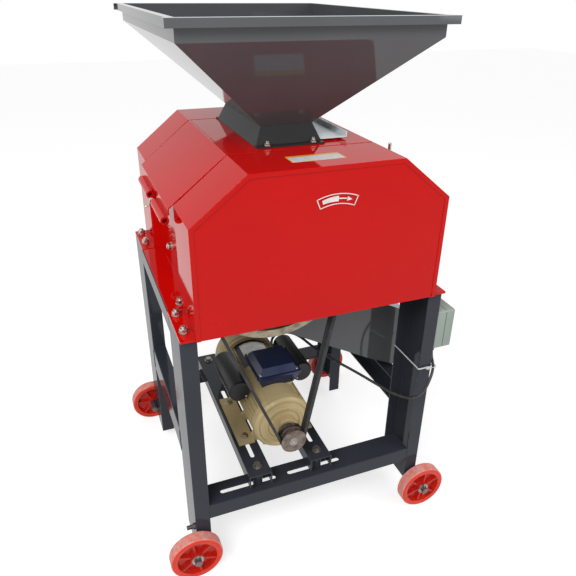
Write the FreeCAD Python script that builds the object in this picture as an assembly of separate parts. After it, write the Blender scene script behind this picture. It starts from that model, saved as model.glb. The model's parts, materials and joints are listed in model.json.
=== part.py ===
import FreeCAD, Part
import math
import os
from FreeCAD import Vector

os.makedirs("parts", exist_ok=True)

# Grain grinder. X runs along the guard front, Y from front to back, Z up.
# Lengths are in millimetres. The floor is z = 0.

# running and seating clearances
run_gap = 0.05
soft_gap = 0.3
hole_gap = 0.5

# frame
frame_half_x = 362.0
frame_front_y = 18.0
frame_rear_inset = 6.0
leg_depth = 134.0
leg_flange = 42.0
leg_wall = 4.0
leg_foot_z = 40.0
fold_r = 3.0
deck_z = 788.0
plate_t = 6.0
beam_width = 80.0
beam_height = 48.0
beam_top_z = 225.0
beam_slot_w = 15.0
beam_slot_len = 170.0
beam_slot_1_x = -193.0
beam_slot_2_x = 14.0
side_beam_low_z = 325.0
side_beam_height = 85.0
angle_size = 50.0
angle_t = 4.0

# motor rails
rail_left_x = -165.0
rail_right_x = 22.0
rail_width = 68.0
rail_height = 40.0
rail_overhang = 4.0
rail_slot_w = 13.0
rail_slot_len = 110.0
spacer_height = 20.0
spacer_r = 15.0
bolt_r = 6.0
bolt_head_r = 10.5
bolt_head_h = 8.0
washer_t = 2.5
bolt_tail = 6.0

# wheels
wheel_r = 75.0
wheel_width = 36.0
wheel_gap = 4.0
tyre_t = 12.0
wheel_web_t = 8.0
wheel_rib_t = 7.0
wheel_ribs = 6
wheel_hub_r = 20.0
axle_r = 10.0
axle_weld_len = 45.0
axle_tip = 16.0
axle_washer_t = 3.0
axle_washer_r = 17.0
split_pin_r = 2.0
split_pin_len = 42.0

# motor
motor_x = -67.0
motor_shaft_h = 95.0
motor_r = 82.0
motor_front_y = 97.0
motor_body_len = 323.0
bell_r = 88.0
bell_len = 34.0
boss_r = 34.0
boss_len = 24.0
cowl_len = 72.0
cowl_t = 2.0
cowl_r = 97.0
cowl_gap_slots = 18
fin_count = 26
fin_h = 6.0
fin_t = 3.0
foot_len = 225.0
foot_w = 50.0
foot_t = 9.0
motor_bolt_pitch_y = 170.0
motor_bolt_front_y = 180.0
motor_bolt_r = 5.0
box_len_x = 136.0
box_len_y = 139.0
box_seat_h = 74.0
box_base_h = 39.0
box_base_inset = 18.0
box_rim_inset = 3.0
box_cover_h = 28.0
box_shift_x = 15.0
box_wall = 3.0
box_front_y = 172.0
capacitor_r = 33.0
capacitor_len = 180.0
capacitor_x_off = 105.0
capacitor_z_off = 76.0
capacitor_left_y = 190.0
capacitor_right_y = 218.0
saddle_w = 30.0
saddle_len = 16.0
motor_shaft_r = 13.0

# belt drive
pulley_front_y = 20.0
belt_top_w = 13.0
belt_h = 8.0
belt_bottom_w = 8.0
belt_pitch = 16.0
groove_edge = 10.0
motor_pulley_r = 37.5
main_pulley_r = 197.0
pulley_rim_t = 12.0
pulley_web_t = 10.0
pulley_holes = 5
pulley_hole_r = 34.0
motor_hub_len = 14.0
motor_hub_r = 26.0

# rollers and gears
nip_x = -20.0
roller_over_deck = 152.0
roller_axis_gap = 200.0
roller_nip = 0.8
roller_end_gap = 10.0
flute_count = 60
flute_depth = 1.5
shaft_r = 22.5
gear_module = 8.0
gear_drive_teeth = 23
gear_driven_teeth = 27
gear_width = 40.0
gear_backlash = 0.5
bearing_r = 58.0
bearing_len = 36.0
bearing_flange_t = 12.0
bearing_half_pitch = 46.0

# body
body_depth = 722.0
guard_past_leg = 6.0
guard_side_inset = 37.0
guard_chamfer_run = 134.0
guard_shoulder_h = 274.0
guard_height = 381.0
sheet_t = 3.0
lip_w = 11.0
lip_t = 2.0
wall_t = 6.0
side_wall_inset = 25.0
side_wall_height = 272.0
cover_overhang = 12.0
cover_low_h = 266.0
cover_lip = 16.0
ridge_gap = 1.2
stud_out = 59.0
stud_root = 4.5274
stud_height = 35.4726
stud_r = 4.0
rest_r = 7.0
rest_back = 12.0
seam_depth = 2.0

# inspection cover hinge
hinge_offset = 5.0
hinge_height = 227.0
barrel_r = 11.0
hinge_pin_r = 6.0
barrel_len = 140.0
hinge_front_gap = 26.0
hinge_rear_gap = 10.0
bracket_t = 8.0
bracket_gap = 2.0
bracket_half_h = 9.0

# feed
throat_half_x = 68.0
throat_front_gap = 58.0
throat_rear_gap = 28.0
collar_flare_x = 20.0
collar_flare_y = 20.0
collar_flange = 16.0
collar_height = 46.0
collar_wall = 4.0
collar_flange_t = 4.0
collar_bolt_r = 4.0
collar_bolt_half_x = 60.0
gate_t = 3.0
gate_len = 170.0
gate_side_gap = 1.0
gate_reach = 162.0
gate_rise = 5.0
gate_slot_h = 4.6
gate_lip_h = 14.0
hopper_band_h = 28.0
hopper_height = 201.0
hopper_half_x = 309.0
hopper_front_y = 76.0
hopper_rear_over = 126.0
hopper_rim = 21.0
hopper_rim_drop = 18.0
hopper_t = 2.5

# discharge chute
chute_t = 3.0
chute_start_h = 8.0
chute_beam_gap = 11.6971
chute_overhang = 8.0
chute_fold_x = 236.0
chute_pinch = 22.0
chute_roof_x = 90.0
chute_flange_h = 26.0

# switch box and motor lead
switch_front_y = 22.0
switch_width = 80.0
switch_low_z = 590.0
switch_height = 122.0
switch_base_d = 30.0
switch_cover_d = 30.0
switch_wall = 3.0
button_r = 11.0
button_proud = 4.0
button_travel = 4.0
gland_r = 9.0
gland_len = 18.0
cord_r = 4.25
gland_bore_r = 4.5

# places that follow from the sizes above
frame_rear_y = body_depth - frame_rear_inset
guard_depth = frame_front_y + leg_depth + guard_past_leg
guard_half_x = frame_half_x - guard_side_inset
guard_top_half_x = guard_half_x - guard_chamfer_run
side_wall_x = guard_half_x - side_wall_inset
cover_half_x = guard_half_x + cover_overhang
hinge_x = cover_half_x + hinge_offset
chute_start_x = sheet_t - side_wall_x
chute_end_x = frame_half_x + chute_overhang
chute_start_z = deck_z + chute_start_h
chute_drop = chute_start_z - side_beam_low_z - side_beam_height - chute_beam_gap
chute_slope_deg = math.degrees(math.atan2(chute_drop, chute_end_x - chute_start_x))
gate_out_x = nip_x + gate_reach
hopper_rear_y = body_depth + hopper_rear_over
top_z = deck_z - plate_t
roller_z = deck_z + roller_over_deck
guard_shoulder_z = deck_z + guard_shoulder_h
guard_top_z = deck_z + guard_height
side_wall_top_z = deck_z + side_wall_height
cover_low_z = deck_z + cover_low_h
hinge_z = deck_z + hinge_height
guard_front_t = lip_t + sheet_t
housing_front_y = guard_depth
housing_rear_y = body_depth - guard_depth
inner_front_y = housing_front_y + wall_t
inner_rear_y = housing_rear_y - wall_t
roller_len = inner_rear_y - inner_front_y - 2 * roller_end_gap
throat_front_y = inner_front_y + throat_front_gap
throat_rear_y = inner_rear_y - throat_rear_gap
barrel_front_y = inner_front_y + hinge_front_gap
barrel_rear_y = inner_rear_y - hinge_rear_gap - bracket_t - bracket_gap - barrel_len
rail_top_z = beam_top_z + spacer_height + rail_height
shaft_z = rail_top_z + motor_shaft_h
motor_body_y = motor_front_y + bell_len
motor_rear_y = motor_body_y + motor_body_len
drive_x = nip_x - roller_axis_gap / 2
driven_x = nip_x + roller_axis_gap / 2
roller_r = (roller_axis_gap - roller_nip) / 2
pulley_width = 2 * groove_edge + belt_pitch
belt_front_y = pulley_front_y + groove_edge
belt_rear_y = belt_front_y + belt_pitch
axle_x = frame_half_x + axle_r
wheel_front_y = frame_front_y - wheel_gap - wheel_width
wheel_rear_y = frame_rear_y + wheel_gap
beam_mid_front_y = frame_front_y + beam_width / 2
beam_mid_rear_y = frame_rear_y - leg_depth + beam_width / 2
collar_top_z = guard_top_z + collar_height
hopper_shoulder_z = collar_top_z + hopper_height
hopper_top_z = hopper_shoulder_z + hopper_band_h + hopper_rim_drop
gate_z = guard_top_z + gate_rise
hopper_back_y = hopper_rear_y + hopper_rim
axle_end_y = wheel_front_y - axle_tip
origin_y = (axle_end_y + hopper_back_y) / 2


def box(x0, x1, y0, y1, z0, z1):
    return Part.makeBox(x1 - x0, y1 - y0, z1 - z0, Vector(x0, y0, z0))


def cyl_x(r, x0, x1, y, z):
    return Part.makeCylinder(r, x1 - x0, Vector(x0, y, z), Vector(1, 0, 0))


def cyl_y(r, y0, y1, x, z):
    return Part.makeCylinder(r, y1 - y0, Vector(x, y0, z), Vector(0, 1, 0))


def cyl_z(r, z0, z1, x, y):
    return Part.makeCylinder(r, z1 - z0, Vector(x, y, z0), Vector(0, 0, 1))


def prism_y(points, y0, y1):
    corners = [Vector(x, y0, z) for x, z in points]
    wire = Part.makePolygon(corners + corners[:1])
    return Part.Face(wire).extrude(Vector(0, y1 - y0, 0))


def rect(x0, x1, y0, y1, z):
    corners = [Vector(x0, y0, z), Vector(x1, y0, z), Vector(x1, y1, z), Vector(x0, y1, z)]
    return Part.makePolygon(corners + corners[:1])


def loft(lower, upper):
    return Part.makeLoft([lower, upper], True, True)


def fuse(shapes):
    whole = shapes[0].fuse(shapes[1:]) if len(shapes) > 1 else shapes[0]
    return whole.removeSplitter()


def cut(shape, tools):
    return shape.cut(tools)


def mirror_x(shape):
    return shape.mirror(Vector(0, 0, 0), Vector(1, 0, 0))


def revolve_y(points, x, z):
    """Turn a profile of (radius, y) points round the Y axis through x, z."""
    corners = [Vector(x + r, y, z) for r, y in points]
    wire = Part.makePolygon(corners + corners[:1])
    return Part.Face(wire).revolve(Vector(x, 0, z), Vector(0, 1, 0), 360)


def around_y(shape, x, z, angle):
    turned = shape.copy()
    turned.rotate(Vector(x, 0, z), Vector(0, 1, 0), angle)
    return turned


def slot_z(x, y, along_x, along_y, width, z0, z1):
    """An obround cutter through a level web, of overall length along_x or along_y."""
    r = width / 2
    half_x = max(along_x / 2 - r, 0)
    half_y = max(along_y / 2 - r, 0)
    ends = [cyl_z(r, z0, z1, x - half_x, y - half_y), cyl_z(r, z0, z1, x + half_x, y + half_y)]
    wide_x = max(half_x, r)
    wide_y = max(half_y, r)
    ends.append(box(x - wide_x, x + wide_x, y - wide_y, y + wide_y, z0, z1))
    return fuse(ends)


def edges_along(shape, direction, spots):
    """Straight edges parallel to direction that pass through one of the spots."""
    found = []
    for edge in shape.Edges:
        a = edge.Vertexes[0].Point
        b = edge.Vertexes[-1].Point
        step = b - a
        if step.Length < 1 or step.cross(direction).Length > 1e-6 * step.Length:
            continue
        for spot in spots:
            away = (a - spot) - direction * (a - spot).dot(direction)
            if away.Length < 0.01:
                found.append(edge)
    return found


def channel_up(x0, x1, y0, y1, z0, z1, wall, along):
    """A folded channel with its web on top and its lips turned down."""
    outer = box(x0, x1, y0, y1, z0, z1)
    if along == "x":
        inner = box(x0 - 1, x1 + 1, y0 + wall, y1 - wall, z0 - 1, z1 - wall)
        spots = [Vector(x0, y0, z1), Vector(x0, y1, z1)]
        direction = Vector(1, 0, 0)
    else:
        inner = box(x0 + wall, x1 - wall, y0 - 1, y1 + 1, z0 - 1, z1 - wall)
        spots = [Vector(x0, y0, z1), Vector(x1, y0, z1)]
        direction = Vector(0, 1, 0)
    shape = outer.cut(inner)
    return shape.makeFillet(fold_r, edges_along(shape, direction, spots))


def channel_side(y0, y1, z0, z1, along):
    """A folded channel on the left with its web outside and its flanges turned in."""
    x0 = -frame_half_x
    x1 = x0 + leg_flange
    t = leg_wall
    outer = box(x0, x1, y0, y1, z0, z1)
    if along == "z":
        inner = box(x0 + t, x1 + 1, y0 + t, y1 - t, z0 - 1, z1 + 1)
        spots = [Vector(x0, y0, z0), Vector(x0, y1, z0)]
        direction = Vector(0, 0, 1)
    else:
        inner = box(x0 + t, x1 + 1, y0 - 1, y1 + 1, z0 + t, z1 - t)
        spots = [Vector(x0, y0, z0), Vector(x0, y0, z1)]
        direction = Vector(0, 1, 0)
    shape = outer.cut(inner)
    return shape.makeFillet(fold_r, edges_along(shape, direction, spots))


def hexagon(radius, z0, z1, x, y):
    corners = []
    for i in range(6):
        a = math.radians(60 * i)
        corners.append(Vector(x + radius * math.cos(a), y + radius * math.sin(a), z0))
    return Part.Face(Part.makePolygon(corners + corners[:1])).extrude(Vector(0, 0, z1 - z0))


def bolt_down(x, y, top, bottom, r, head_r, head_h):
    """A hexagon bolt with washer on a top face, and a nut under a bottom face."""
    seat = top + washer_t
    parts = [cyl_z(r, bottom - washer_t - head_h - bolt_tail, seat + head_h, x, y)]
    parts.append(cyl_z(head_r * 1.3, top, seat, x, y))
    parts.append(hexagon(head_r, seat, seat + head_h, x, y))
    parts.append(cyl_z(head_r * 1.3, bottom - washer_t, bottom, x, y))
    parts.append(hexagon(head_r, bottom - washer_t - head_h, bottom - washer_t, x, y))
    return fuse(parts)


# frame

def make_legs():
    front = channel_side(frame_front_y, frame_front_y + leg_depth, leg_foot_z, top_z, "z")
    rear = channel_side(frame_rear_y - leg_depth, frame_rear_y, leg_foot_z, top_z, "z")
    return front, mirror_x(front), rear, mirror_x(rear)


def make_cross_beam(y0, lip_at_rear):
    """A folded angle between two legs, with its one lip on the outer side."""
    reach = frame_half_x - leg_flange
    mid_y = y0 + beam_width / 2
    low = beam_top_z - beam_height
    beam = channel_up(-reach, reach, y0, y0 + beam_width, low, beam_top_z, leg_wall, "x")
    lip_y = y0 if lip_at_rear else y0 + beam_width - leg_wall
    tools = [box(-reach - 1, reach + 1, lip_y, lip_y + leg_wall, low - 1, beam_top_z - leg_wall)]
    for x in (beam_slot_1_x, beam_slot_2_x):
        tools.append(slot_z(x, mid_y, beam_slot_len, 0, beam_slot_w, low, beam_top_z + 1))
    return cut(beam, tools)


def make_side_beam():
    y0 = frame_front_y + leg_depth
    y1 = frame_rear_y - leg_depth
    return channel_side(y0, y1, side_beam_low_z, side_beam_low_z + side_beam_height, "y")


def make_top_side_rail():
    y0 = frame_front_y + leg_depth
    y1 = frame_rear_y - leg_depth
    x0 = -frame_half_x
    flat = box(x0, x0 + angle_size, y0, y1, top_z - angle_t, top_z)
    return fuse([flat, box(x0, x0 + angle_t, y0, y1, top_z - angle_size, top_z)])


def make_top_cross_rail(y_out, y_in):
    """An angle between two legs: its upright flange at y_out, its level one to y_in."""
    reach = frame_half_x - leg_flange
    y0, y1 = sorted((y_out, y_in))
    flat = box(-reach, reach, y0, y1, top_z - angle_t, top_z)
    step = angle_t if y_in > y_out else -angle_t
    u0, u1 = sorted((y_out, y_out + step))
    return fuse([flat, box(-reach, reach, u0, u1, top_z - angle_size, top_z)])


def make_motor_rail(x):
    y0 = frame_front_y + rail_overhang
    y1 = frame_rear_y - leg_depth + beam_width - rail_overhang
    low = rail_top_z - rail_height
    half = rail_width / 2
    rail = channel_up(x - half, x + half, y0, y1, low, rail_top_z, leg_wall, "y")
    tools = []
    for y in (motor_bolt_front_y, motor_bolt_front_y + motor_bolt_pitch_y):
        out = -1 if y == motor_bolt_front_y else 1
        mid = y + out * (rail_slot_len / 2 - 2 * rail_slot_w)
        tools.append(slot_z(x, mid, 0, rail_slot_len, rail_slot_w, low, rail_top_z + 1))
    for y in (beam_mid_front_y, beam_mid_rear_y):
        tools.append(cyl_z(bolt_r + hole_gap, low, rail_top_z + 1, x, y))
    return cut(rail, tools)


def rail_spots():
    return [(x, y) for x in (rail_left_x, rail_right_x) for y in (beam_mid_front_y, beam_mid_rear_y)]


def make_spacers():
    shapes = []
    for x, y in rail_spots():
        tube = cyl_z(spacer_r, beam_top_z, rail_top_z - leg_wall, x, y)
        shapes.append(tube.cut(cyl_z(bolt_r + hole_gap, beam_top_z - 1, rail_top_z, x, y)))
    return Part.makeCompound(shapes)


def make_rail_bolts():
    under = beam_top_z - leg_wall
    shapes = []
    for x, y in rail_spots():
        shapes.append(bolt_down(x, y, rail_top_z, under, bolt_r, bolt_head_r, bolt_head_h))
    return Part.makeCompound(shapes)


# wheels

def make_wheel(y0, outer_front):
    """A ribbed plastic wheel with a bonded tyre, dished on the face away from the leg."""
    x = -axle_x
    z = wheel_r
    y1 = y0 + wheel_width
    rim_r = wheel_r - tyre_t
    bevel = 4.0
    bore = axle_r + run_gap
    tyre = revolve_y([(rim_r - 3, y0 + 1), (rim_r, y0), (wheel_r - bevel, y0), (wheel_r, y0 + bevel),
                      (wheel_r, y1 - bevel), (wheel_r - bevel, y1), (rim_r, y1), (rim_r - 3, y1 - 1)], x, z)
    mid = (y0 + y1) / 2
    rim = cyl_y(rim_r, y0 + 1, y1 - 1, x, z).cut(cyl_y(rim_r - 6, y0, y1, x, z))
    web = cyl_y(rim_r - 1, mid - wheel_web_t / 2, mid + wheel_web_t / 2, x, z)
    hub = cyl_y(wheel_hub_r, y0, y1, x, z)
    parts = [tyre, rim, web, hub]
    for i in range(wheel_ribs):
        rib = box(x, x + rim_r - 3, y0 + 4, y1 - 4, z - wheel_rib_t / 2, z + wheel_rib_t / 2)
        parts.append(around_y(rib, x, z, 360.0 * i / wheel_ribs + outer_front))
    return fuse(parts).cut(cyl_y(bore, y0 - 1, y1 + 1, x, z))


def make_axle(rear):
    """A round stub welded along the outside of the leg's web."""
    if rear:
        y0 = frame_rear_y - axle_weld_len
        y1 = wheel_rear_y + wheel_width + axle_tip
        hole_y = wheel_rear_y + wheel_width + axle_washer_t + split_pin_r + 1
    else:
        y0 = axle_end_y
        y1 = frame_front_y + axle_weld_len
        hole_y = wheel_front_y - axle_washer_t - split_pin_r - 1
    rod = cyl_y(axle_r, y0, y1, -axle_x, wheel_r)
    return rod.cut(cyl_z(split_pin_r + run_gap, 0, 2 * wheel_r, -axle_x, hole_y))


def make_axles():
    front = make_axle(False)
    rear = make_axle(True)
    return Part.makeCompound([front, mirror_x(front), rear, mirror_x(rear)])


def make_axle_keepers():
    """A plain washer and a split pin outside each wheel."""
    shapes = []
    for rear in (False, True):
        if rear:
            w0 = wheel_rear_y + wheel_width + soft_gap
            pin_y = wheel_rear_y + wheel_width + axle_washer_t + split_pin_r + 1
        else:
            w0 = wheel_front_y - axle_washer_t - soft_gap
            pin_y = wheel_front_y - axle_washer_t - split_pin_r - 1
        ring = cyl_y(axle_washer_r, w0, w0 + axle_washer_t, -axle_x, wheel_r)
        ring = ring.cut(cyl_y(axle_r + run_gap, w0 - 1, w0 + axle_washer_t + 1, -axle_x, wheel_r))
        half = split_pin_len / 2
        pin = cyl_z(split_pin_r, wheel_r - half, wheel_r + half, -axle_x, pin_y)
        eye_y = split_pin_r + 0.6
        eye = cyl_y(split_pin_r * 1.9, pin_y - eye_y, pin_y + eye_y, -axle_x, wheel_r + half)
        keeper = fuse([pin, eye])
        shapes += [ring, mirror_x(ring), keeper, mirror_x(keeper)]
    return Part.makeCompound(shapes)


# motor

def make_motor_housing():
    x = motor_x
    z = shaft_z
    y0 = motor_body_y
    y1 = motor_rear_y
    parts = [cyl_y(motor_r, y0, y1, x, z)]
    for i in range(fin_count):
        angle = -62 + (124.0 + 180.0) * i / (fin_count - 1)
        if 48 < angle < 132:
            continue
        fin = box(x + motor_r - 3, x + motor_r + fin_h, y0 + 8, y1 - 8, z - fin_t / 2, z + fin_t / 2)
        parts.append(around_y(fin, x, z, -angle))
    pad_x0, pad_top = terminal_corner()
    edge = box_base_inset + box_wall
    parts.append(box(pad_x0 + edge, pad_x0 + box_len_x - edge, box_front_y + edge, box_front_y + box_len_y - edge,
                     z + motor_r / 2, pad_top))
    parts.append(cyl_y(cowl_r - cowl_t, y1 - 14, y1 + 6, x, z))
    foot_y0 = motor_bolt_front_y - (foot_len - motor_bolt_pitch_y) / 2
    foot_y1 = foot_y0 + foot_len
    tools = []
    for side in (-1, 1):
        fx = rail_left_x if side < 0 else rail_right_x
        parts.append(box(fx - foot_w / 2, fx + foot_w / 2, foot_y0, foot_y1, rail_top_z, rail_top_z + foot_t))
        inner = fx - side * foot_w / 2
        web = [(inner, rail_top_z), (inner + side * 8, rail_top_z), (inner + side * 8, rail_top_z + 22),
               (x + side * 58, z - 44), (x + side * 44, z - 58), (x + side * 48, rail_top_z)]
        for y in (foot_y0 + 8, foot_y1 - 20, (foot_y0 + foot_y1) / 2 - 6):
            parts.append(prism_y(web, y, y + 12))
        for y in (motor_bolt_front_y, motor_bolt_front_y + motor_bolt_pitch_y):
            tools.append(cyl_z(motor_bolt_r + hole_gap, rail_top_z - 1, rail_top_z + foot_t + 30, fx, y))
    return fuse(parts).cut(tools)


def make_motor_bell():
    """Cast end bell with two raised rings and a bearing boss."""
    y = motor_front_y
    back = motor_body_y
    bore = motor_shaft_r + run_gap
    profile = [(bore, y - boss_len), (boss_r - 4, y - boss_len), (boss_r, y - boss_len + 4),
               (boss_r + 2, y + 2), (boss_r + 14, y + 4), (boss_r + 16, y), (boss_r + 22, y),
               (boss_r + 24, y + 6), (bell_r - 14, y + 8), (bell_r - 12, y + 4), (bell_r - 6, y + 4),
               (bell_r, y + 11), (bell_r, back), (bore, back)]
    bell = revolve_y(profile, motor_x, shaft_z)
    lugs = []
    for i in range(4):
        angle = 45 + 90 * i
        lug = cyl_y(7, y + 6, back, motor_x + bell_r - 6, shaft_z)
        lugs.append(around_y(lug, motor_x, shaft_z, angle))
    return fuse([bell] + lugs)


def make_fan_cowl():
    y0 = motor_rear_y
    y1 = y0 + cowl_len
    r = cowl_r
    t = cowl_t
    outer = revolve_y([(0, y0), (r, y0), (r, y1 - 16), (r - 5, y1 - 6), (r - 15, y1), (0, y1)], motor_x, shaft_z)
    inner = revolve_y([(0, y0 - 1), (r - t, y0 - 1), (r - t, y1 - 16), (r - 6, y1 - 7),
                       (r - 15, y1 - t), (0, y1 - t)], motor_x, shaft_z)
    cowl = outer.cut(inner)
    tools = []
    for i in range(cowl_gap_slots):
        slot = box(motor_x + 24, motor_x + r - 18, y1 - 8, y1 + 2, shaft_z - 3, shaft_z + 3)
        tools.append(around_y(slot, motor_x, shaft_z, 360.0 * i / cowl_gap_slots))
    return cowl.cut(tools)


def terminal_corner():
    x0 = motor_x + box_shift_x - box_len_x / 2
    z0 = shaft_z + box_seat_h
    return x0, z0


def make_terminal_base():
    """Tapered base with its underside hollowed to sit on the round of the motor."""
    x0, z0 = terminal_corner()
    y0 = box_front_y
    x1 = x0 + box_len_x
    y1 = y0 + box_len_y
    low = box_base_inset
    rim = box_rim_inset
    outer = loft(rect(x0 + low, x1 - low, y0 + low, y1 - low, z0),
                 rect(x0 + rim, x1 - rim, y0 + rim, y1 - rim, z0 + box_base_h))
    side = low + box_wall
    floor = shaft_z + motor_r + soft_gap + box_wall
    inner = box(x0 + side, x1 - side, y0 + side, y1 - side, floor, z0 + box_base_h + 1)
    seat = cyl_y(motor_r + soft_gap, y0 - 1, y1 + 1, motor_x, shaft_z)
    x, y, z = lead_gland_spot()
    return outer.cut([inner, seat, cyl_y(gland_r - 2, y - 3 * gland_r, y + 1, x, z)])


def make_terminal_cover():
    x0, z0 = terminal_corner()
    low = z0 + box_base_h
    y0 = box_front_y
    skirt = 8.0
    lower = box(x0, x0 + box_len_x, y0, y0 + box_len_y, low, low + skirt)
    lower = lower.makeFillet(6, edges_along(lower, Vector(0, 0, 1), [v.Point for v in lower.Vertexes]))
    dome = loft(rect(x0 + 6, x0 + box_len_x - 6, y0 + 6, y0 + box_len_y - 6, low + skirt),
                rect(x0 + 20, x0 + box_len_x - 20, y0 + 20, y0 + box_len_y - 20, low + box_cover_h))
    screws = []
    for x in (x0 + 11, x0 + box_len_x - 11):
        for y in (y0 + 11, y0 + box_len_y - 11):
            screws.append(cyl_z(4, low + skirt, low + skirt + 4, x, y))
    return fuse([lower, dome] + screws)


def lead_gland_spot():
    """Where the motor lead's gland meets the sloping rear wall of the terminal base."""
    x0, z0 = terminal_corner()
    slope = (box_base_inset - box_rim_inset) / box_base_h
    z = z0 + box_base_h / 2
    y = box_front_y + box_len_y - box_base_inset + slope * (box_base_h / 2 + gland_r) + soft_gap
    return x0 + box_len_x - box_base_inset - gland_r - 1, y, z


def make_capacitors():
    """Two cans, each moulded with two saddles that sit over the motor's fins."""
    shapes = []
    reach = math.hypot(capacitor_x_off, capacitor_z_off)
    lean = math.degrees(math.atan2(capacitor_z_off, capacitor_x_off))
    tip = motor_r + fin_h + soft_gap
    for angle, y0 in ((180 - lean, capacitor_left_y), (lean, capacitor_right_y)):
        x = motor_x + reach
        z = shaft_z
        y1 = y0 + capacitor_len
        r = capacitor_r
        profile = [(0, y0), (r - 5, y0), (r - 2, y0 + 1.5), (r, y0 + 6), (r, y1 - 6), (r - 3, y1), (0, y1)]
        can = revolve_y(profile, x, z)
        for y in (y0 + 2 * saddle_len, y1 - 3 * saddle_len):
            half = saddle_w / 2
            saddle = box(motor_x + tip - 6, x - r / 2, y, y + saddle_len, z - half, z + half)
            can = can.fuse(saddle.cut(cyl_y(tip, y - 1, y + saddle_len + 1, motor_x, shaft_z)))
        shapes.append(around_y(can.removeSplitter(), motor_x, shaft_z, -angle))
    return Part.makeCompound(shapes)


def make_motor_bolts():
    shapes = []
    for x in (rail_left_x, rail_right_x):
        for y in (motor_bolt_front_y, motor_bolt_front_y + motor_bolt_pitch_y):
            top = rail_top_z + foot_t
            shapes.append(bolt_down(x, y, top, rail_top_z - leg_wall, motor_bolt_r, 9.0, 6.5))
    return Part.makeCompound(shapes)


def make_motor_shaft():
    y0 = pulley_front_y - 1
    y1 = motor_body_y - 2
    shaft = cyl_y(motor_shaft_r, y0, y1, motor_x, shaft_z)
    centre = Part.makeCone(0, 4, 4, Vector(motor_x, y0 + 4, shaft_z), Vector(0, -1, 0))
    return shaft.cut(centre)


# belt drive

def groove_profile(r, y_mid):
    """Half section of one V groove, cut into a pulley of outer radius r."""
    top = belt_top_w / 2 + soft_gap
    bottom = belt_bottom_w / 2 + soft_gap
    deep = r - 1 - belt_h - 2
    over = top + (top - bottom) * 2 / belt_h
    return [(deep, y_mid - bottom), (r + 1, y_mid - over), (r + 1, y_mid + over), (deep, y_mid + bottom)]


def make_pulley_rim(r, x, z, inner_r):
    y0 = pulley_front_y
    rim = cyl_y(r, y0, y0 + pulley_width, x, z)
    if inner_r > 0:
        rim = rim.cut(cyl_y(inner_r, y0 - 1, y0 + pulley_width + 1, x, z))
    grooves = [revolve_y(groove_profile(r, y), x, z) for y in (belt_front_y, belt_rear_y)]
    return rim.cut(grooves)


def make_motor_pulley():
    rim = make_pulley_rim(motor_pulley_r, motor_x, shaft_z, 0)
    y1 = pulley_front_y + pulley_width
    hub = cyl_y(motor_hub_r, y1 - 1, y1 + motor_hub_len, motor_x, shaft_z)
    screw = cyl_z(3, shaft_z, shaft_z + motor_hub_r + 3, motor_x, y1 + motor_hub_len / 2)
    bore = cyl_y(motor_shaft_r, pulley_front_y - 1, y1 + motor_hub_len + 1, motor_x, shaft_z)
    return fuse([rim, hub, screw]).cut(bore)


def make_main_pulley():
    x = drive_x
    z = roller_z
    y0 = pulley_front_y
    mid = y0 + pulley_width / 2
    rim = make_pulley_rim(main_pulley_r, x, z, main_pulley_r - pulley_rim_t - belt_h)
    web = cyl_y(main_pulley_r - pulley_rim_t - belt_h + 1, mid - pulley_web_t / 2, mid + pulley_web_t / 2, x, z)
    hub = cyl_y(shaft_r * 1.9, y0, y0 + pulley_width + 12, x, z)
    tools = [cyl_y(shaft_r, y0 - 1, y0 + pulley_width + 13, x, z)]
    reach = (main_pulley_r + shaft_r) / 2
    for i in range(pulley_holes):
        hole = cyl_y(pulley_hole_r, y0, y0 + pulley_width, x + reach, z)
        tools.append(around_y(hole, x, z, 360.0 * i / pulley_holes))
    return fuse([rim, web, hub]).cut(tools)


def belt_tangents(r_low, r_high):
    """Unit normals of the two tangent lines, as seen in the XZ plane."""
    dx = drive_x - motor_x
    dz = roller_z - shaft_z
    span = math.hypot(dx, dz)
    base = math.atan2(dz, dx)
    lean = math.acos((r_low - r_high) / span)
    return [(math.cos(base + s * lean), math.sin(base + s * lean)) for s in (1, -1)]


def loop_wire(r_low, r_high, y):
    """A belt line round both pulleys."""
    (nx1, nz1), (nx2, nz2) = belt_tangents(r_low, r_high)
    a = Vector(motor_x + r_low * nx1, y, shaft_z + r_low * nz1)
    b = Vector(drive_x + r_high * nx1, y, roller_z + r_high * nz1)
    c = Vector(drive_x + r_high * nx2, y, roller_z + r_high * nz2)
    d = Vector(motor_x + r_low * nx2, y, shaft_z + r_low * nz2)
    dx = drive_x - motor_x
    dz = roller_z - shaft_z
    span = math.hypot(dx, dz)
    top = Vector(drive_x + r_high * dx / span, y, roller_z + r_high * dz / span)
    low = Vector(motor_x - r_low * dx / span, y, shaft_z - r_low * dz / span)
    edges = [Part.LineSegment(a, b).toShape(), Part.Arc(b, top, c).toShape(),
             Part.LineSegment(c, d).toShape(), Part.Arc(d, low, a).toShape()]
    return Part.Wire(edges)


def make_belt(y):
    """A V belt loop: wide outside, narrow inside, its back 1 mm below both pulley rims."""
    low_in = motor_pulley_r - 1 - belt_h
    high_in = main_pulley_r - 1 - belt_h
    nx, nz = belt_tangents(low_in, high_in)[0]
    start = Vector(motor_x + low_in * nx, y, shaft_z + low_in * nz)
    rise = Vector(nx, 0, nz) * belt_h
    hb = Vector(0, belt_bottom_w / 2, 0)
    hw = Vector(0, belt_top_w / 2, 0)
    section = Part.makePolygon([start - hb, start + hb, start + rise + hw, start + rise - hw, start - hb])
    return loop_wire(low_in, high_in, y).makePipeShell([section], True, True)


def make_belts():
    return Part.makeCompound([make_belt(belt_front_y), make_belt(belt_rear_y)])


# rollers, bearings and gears

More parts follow.
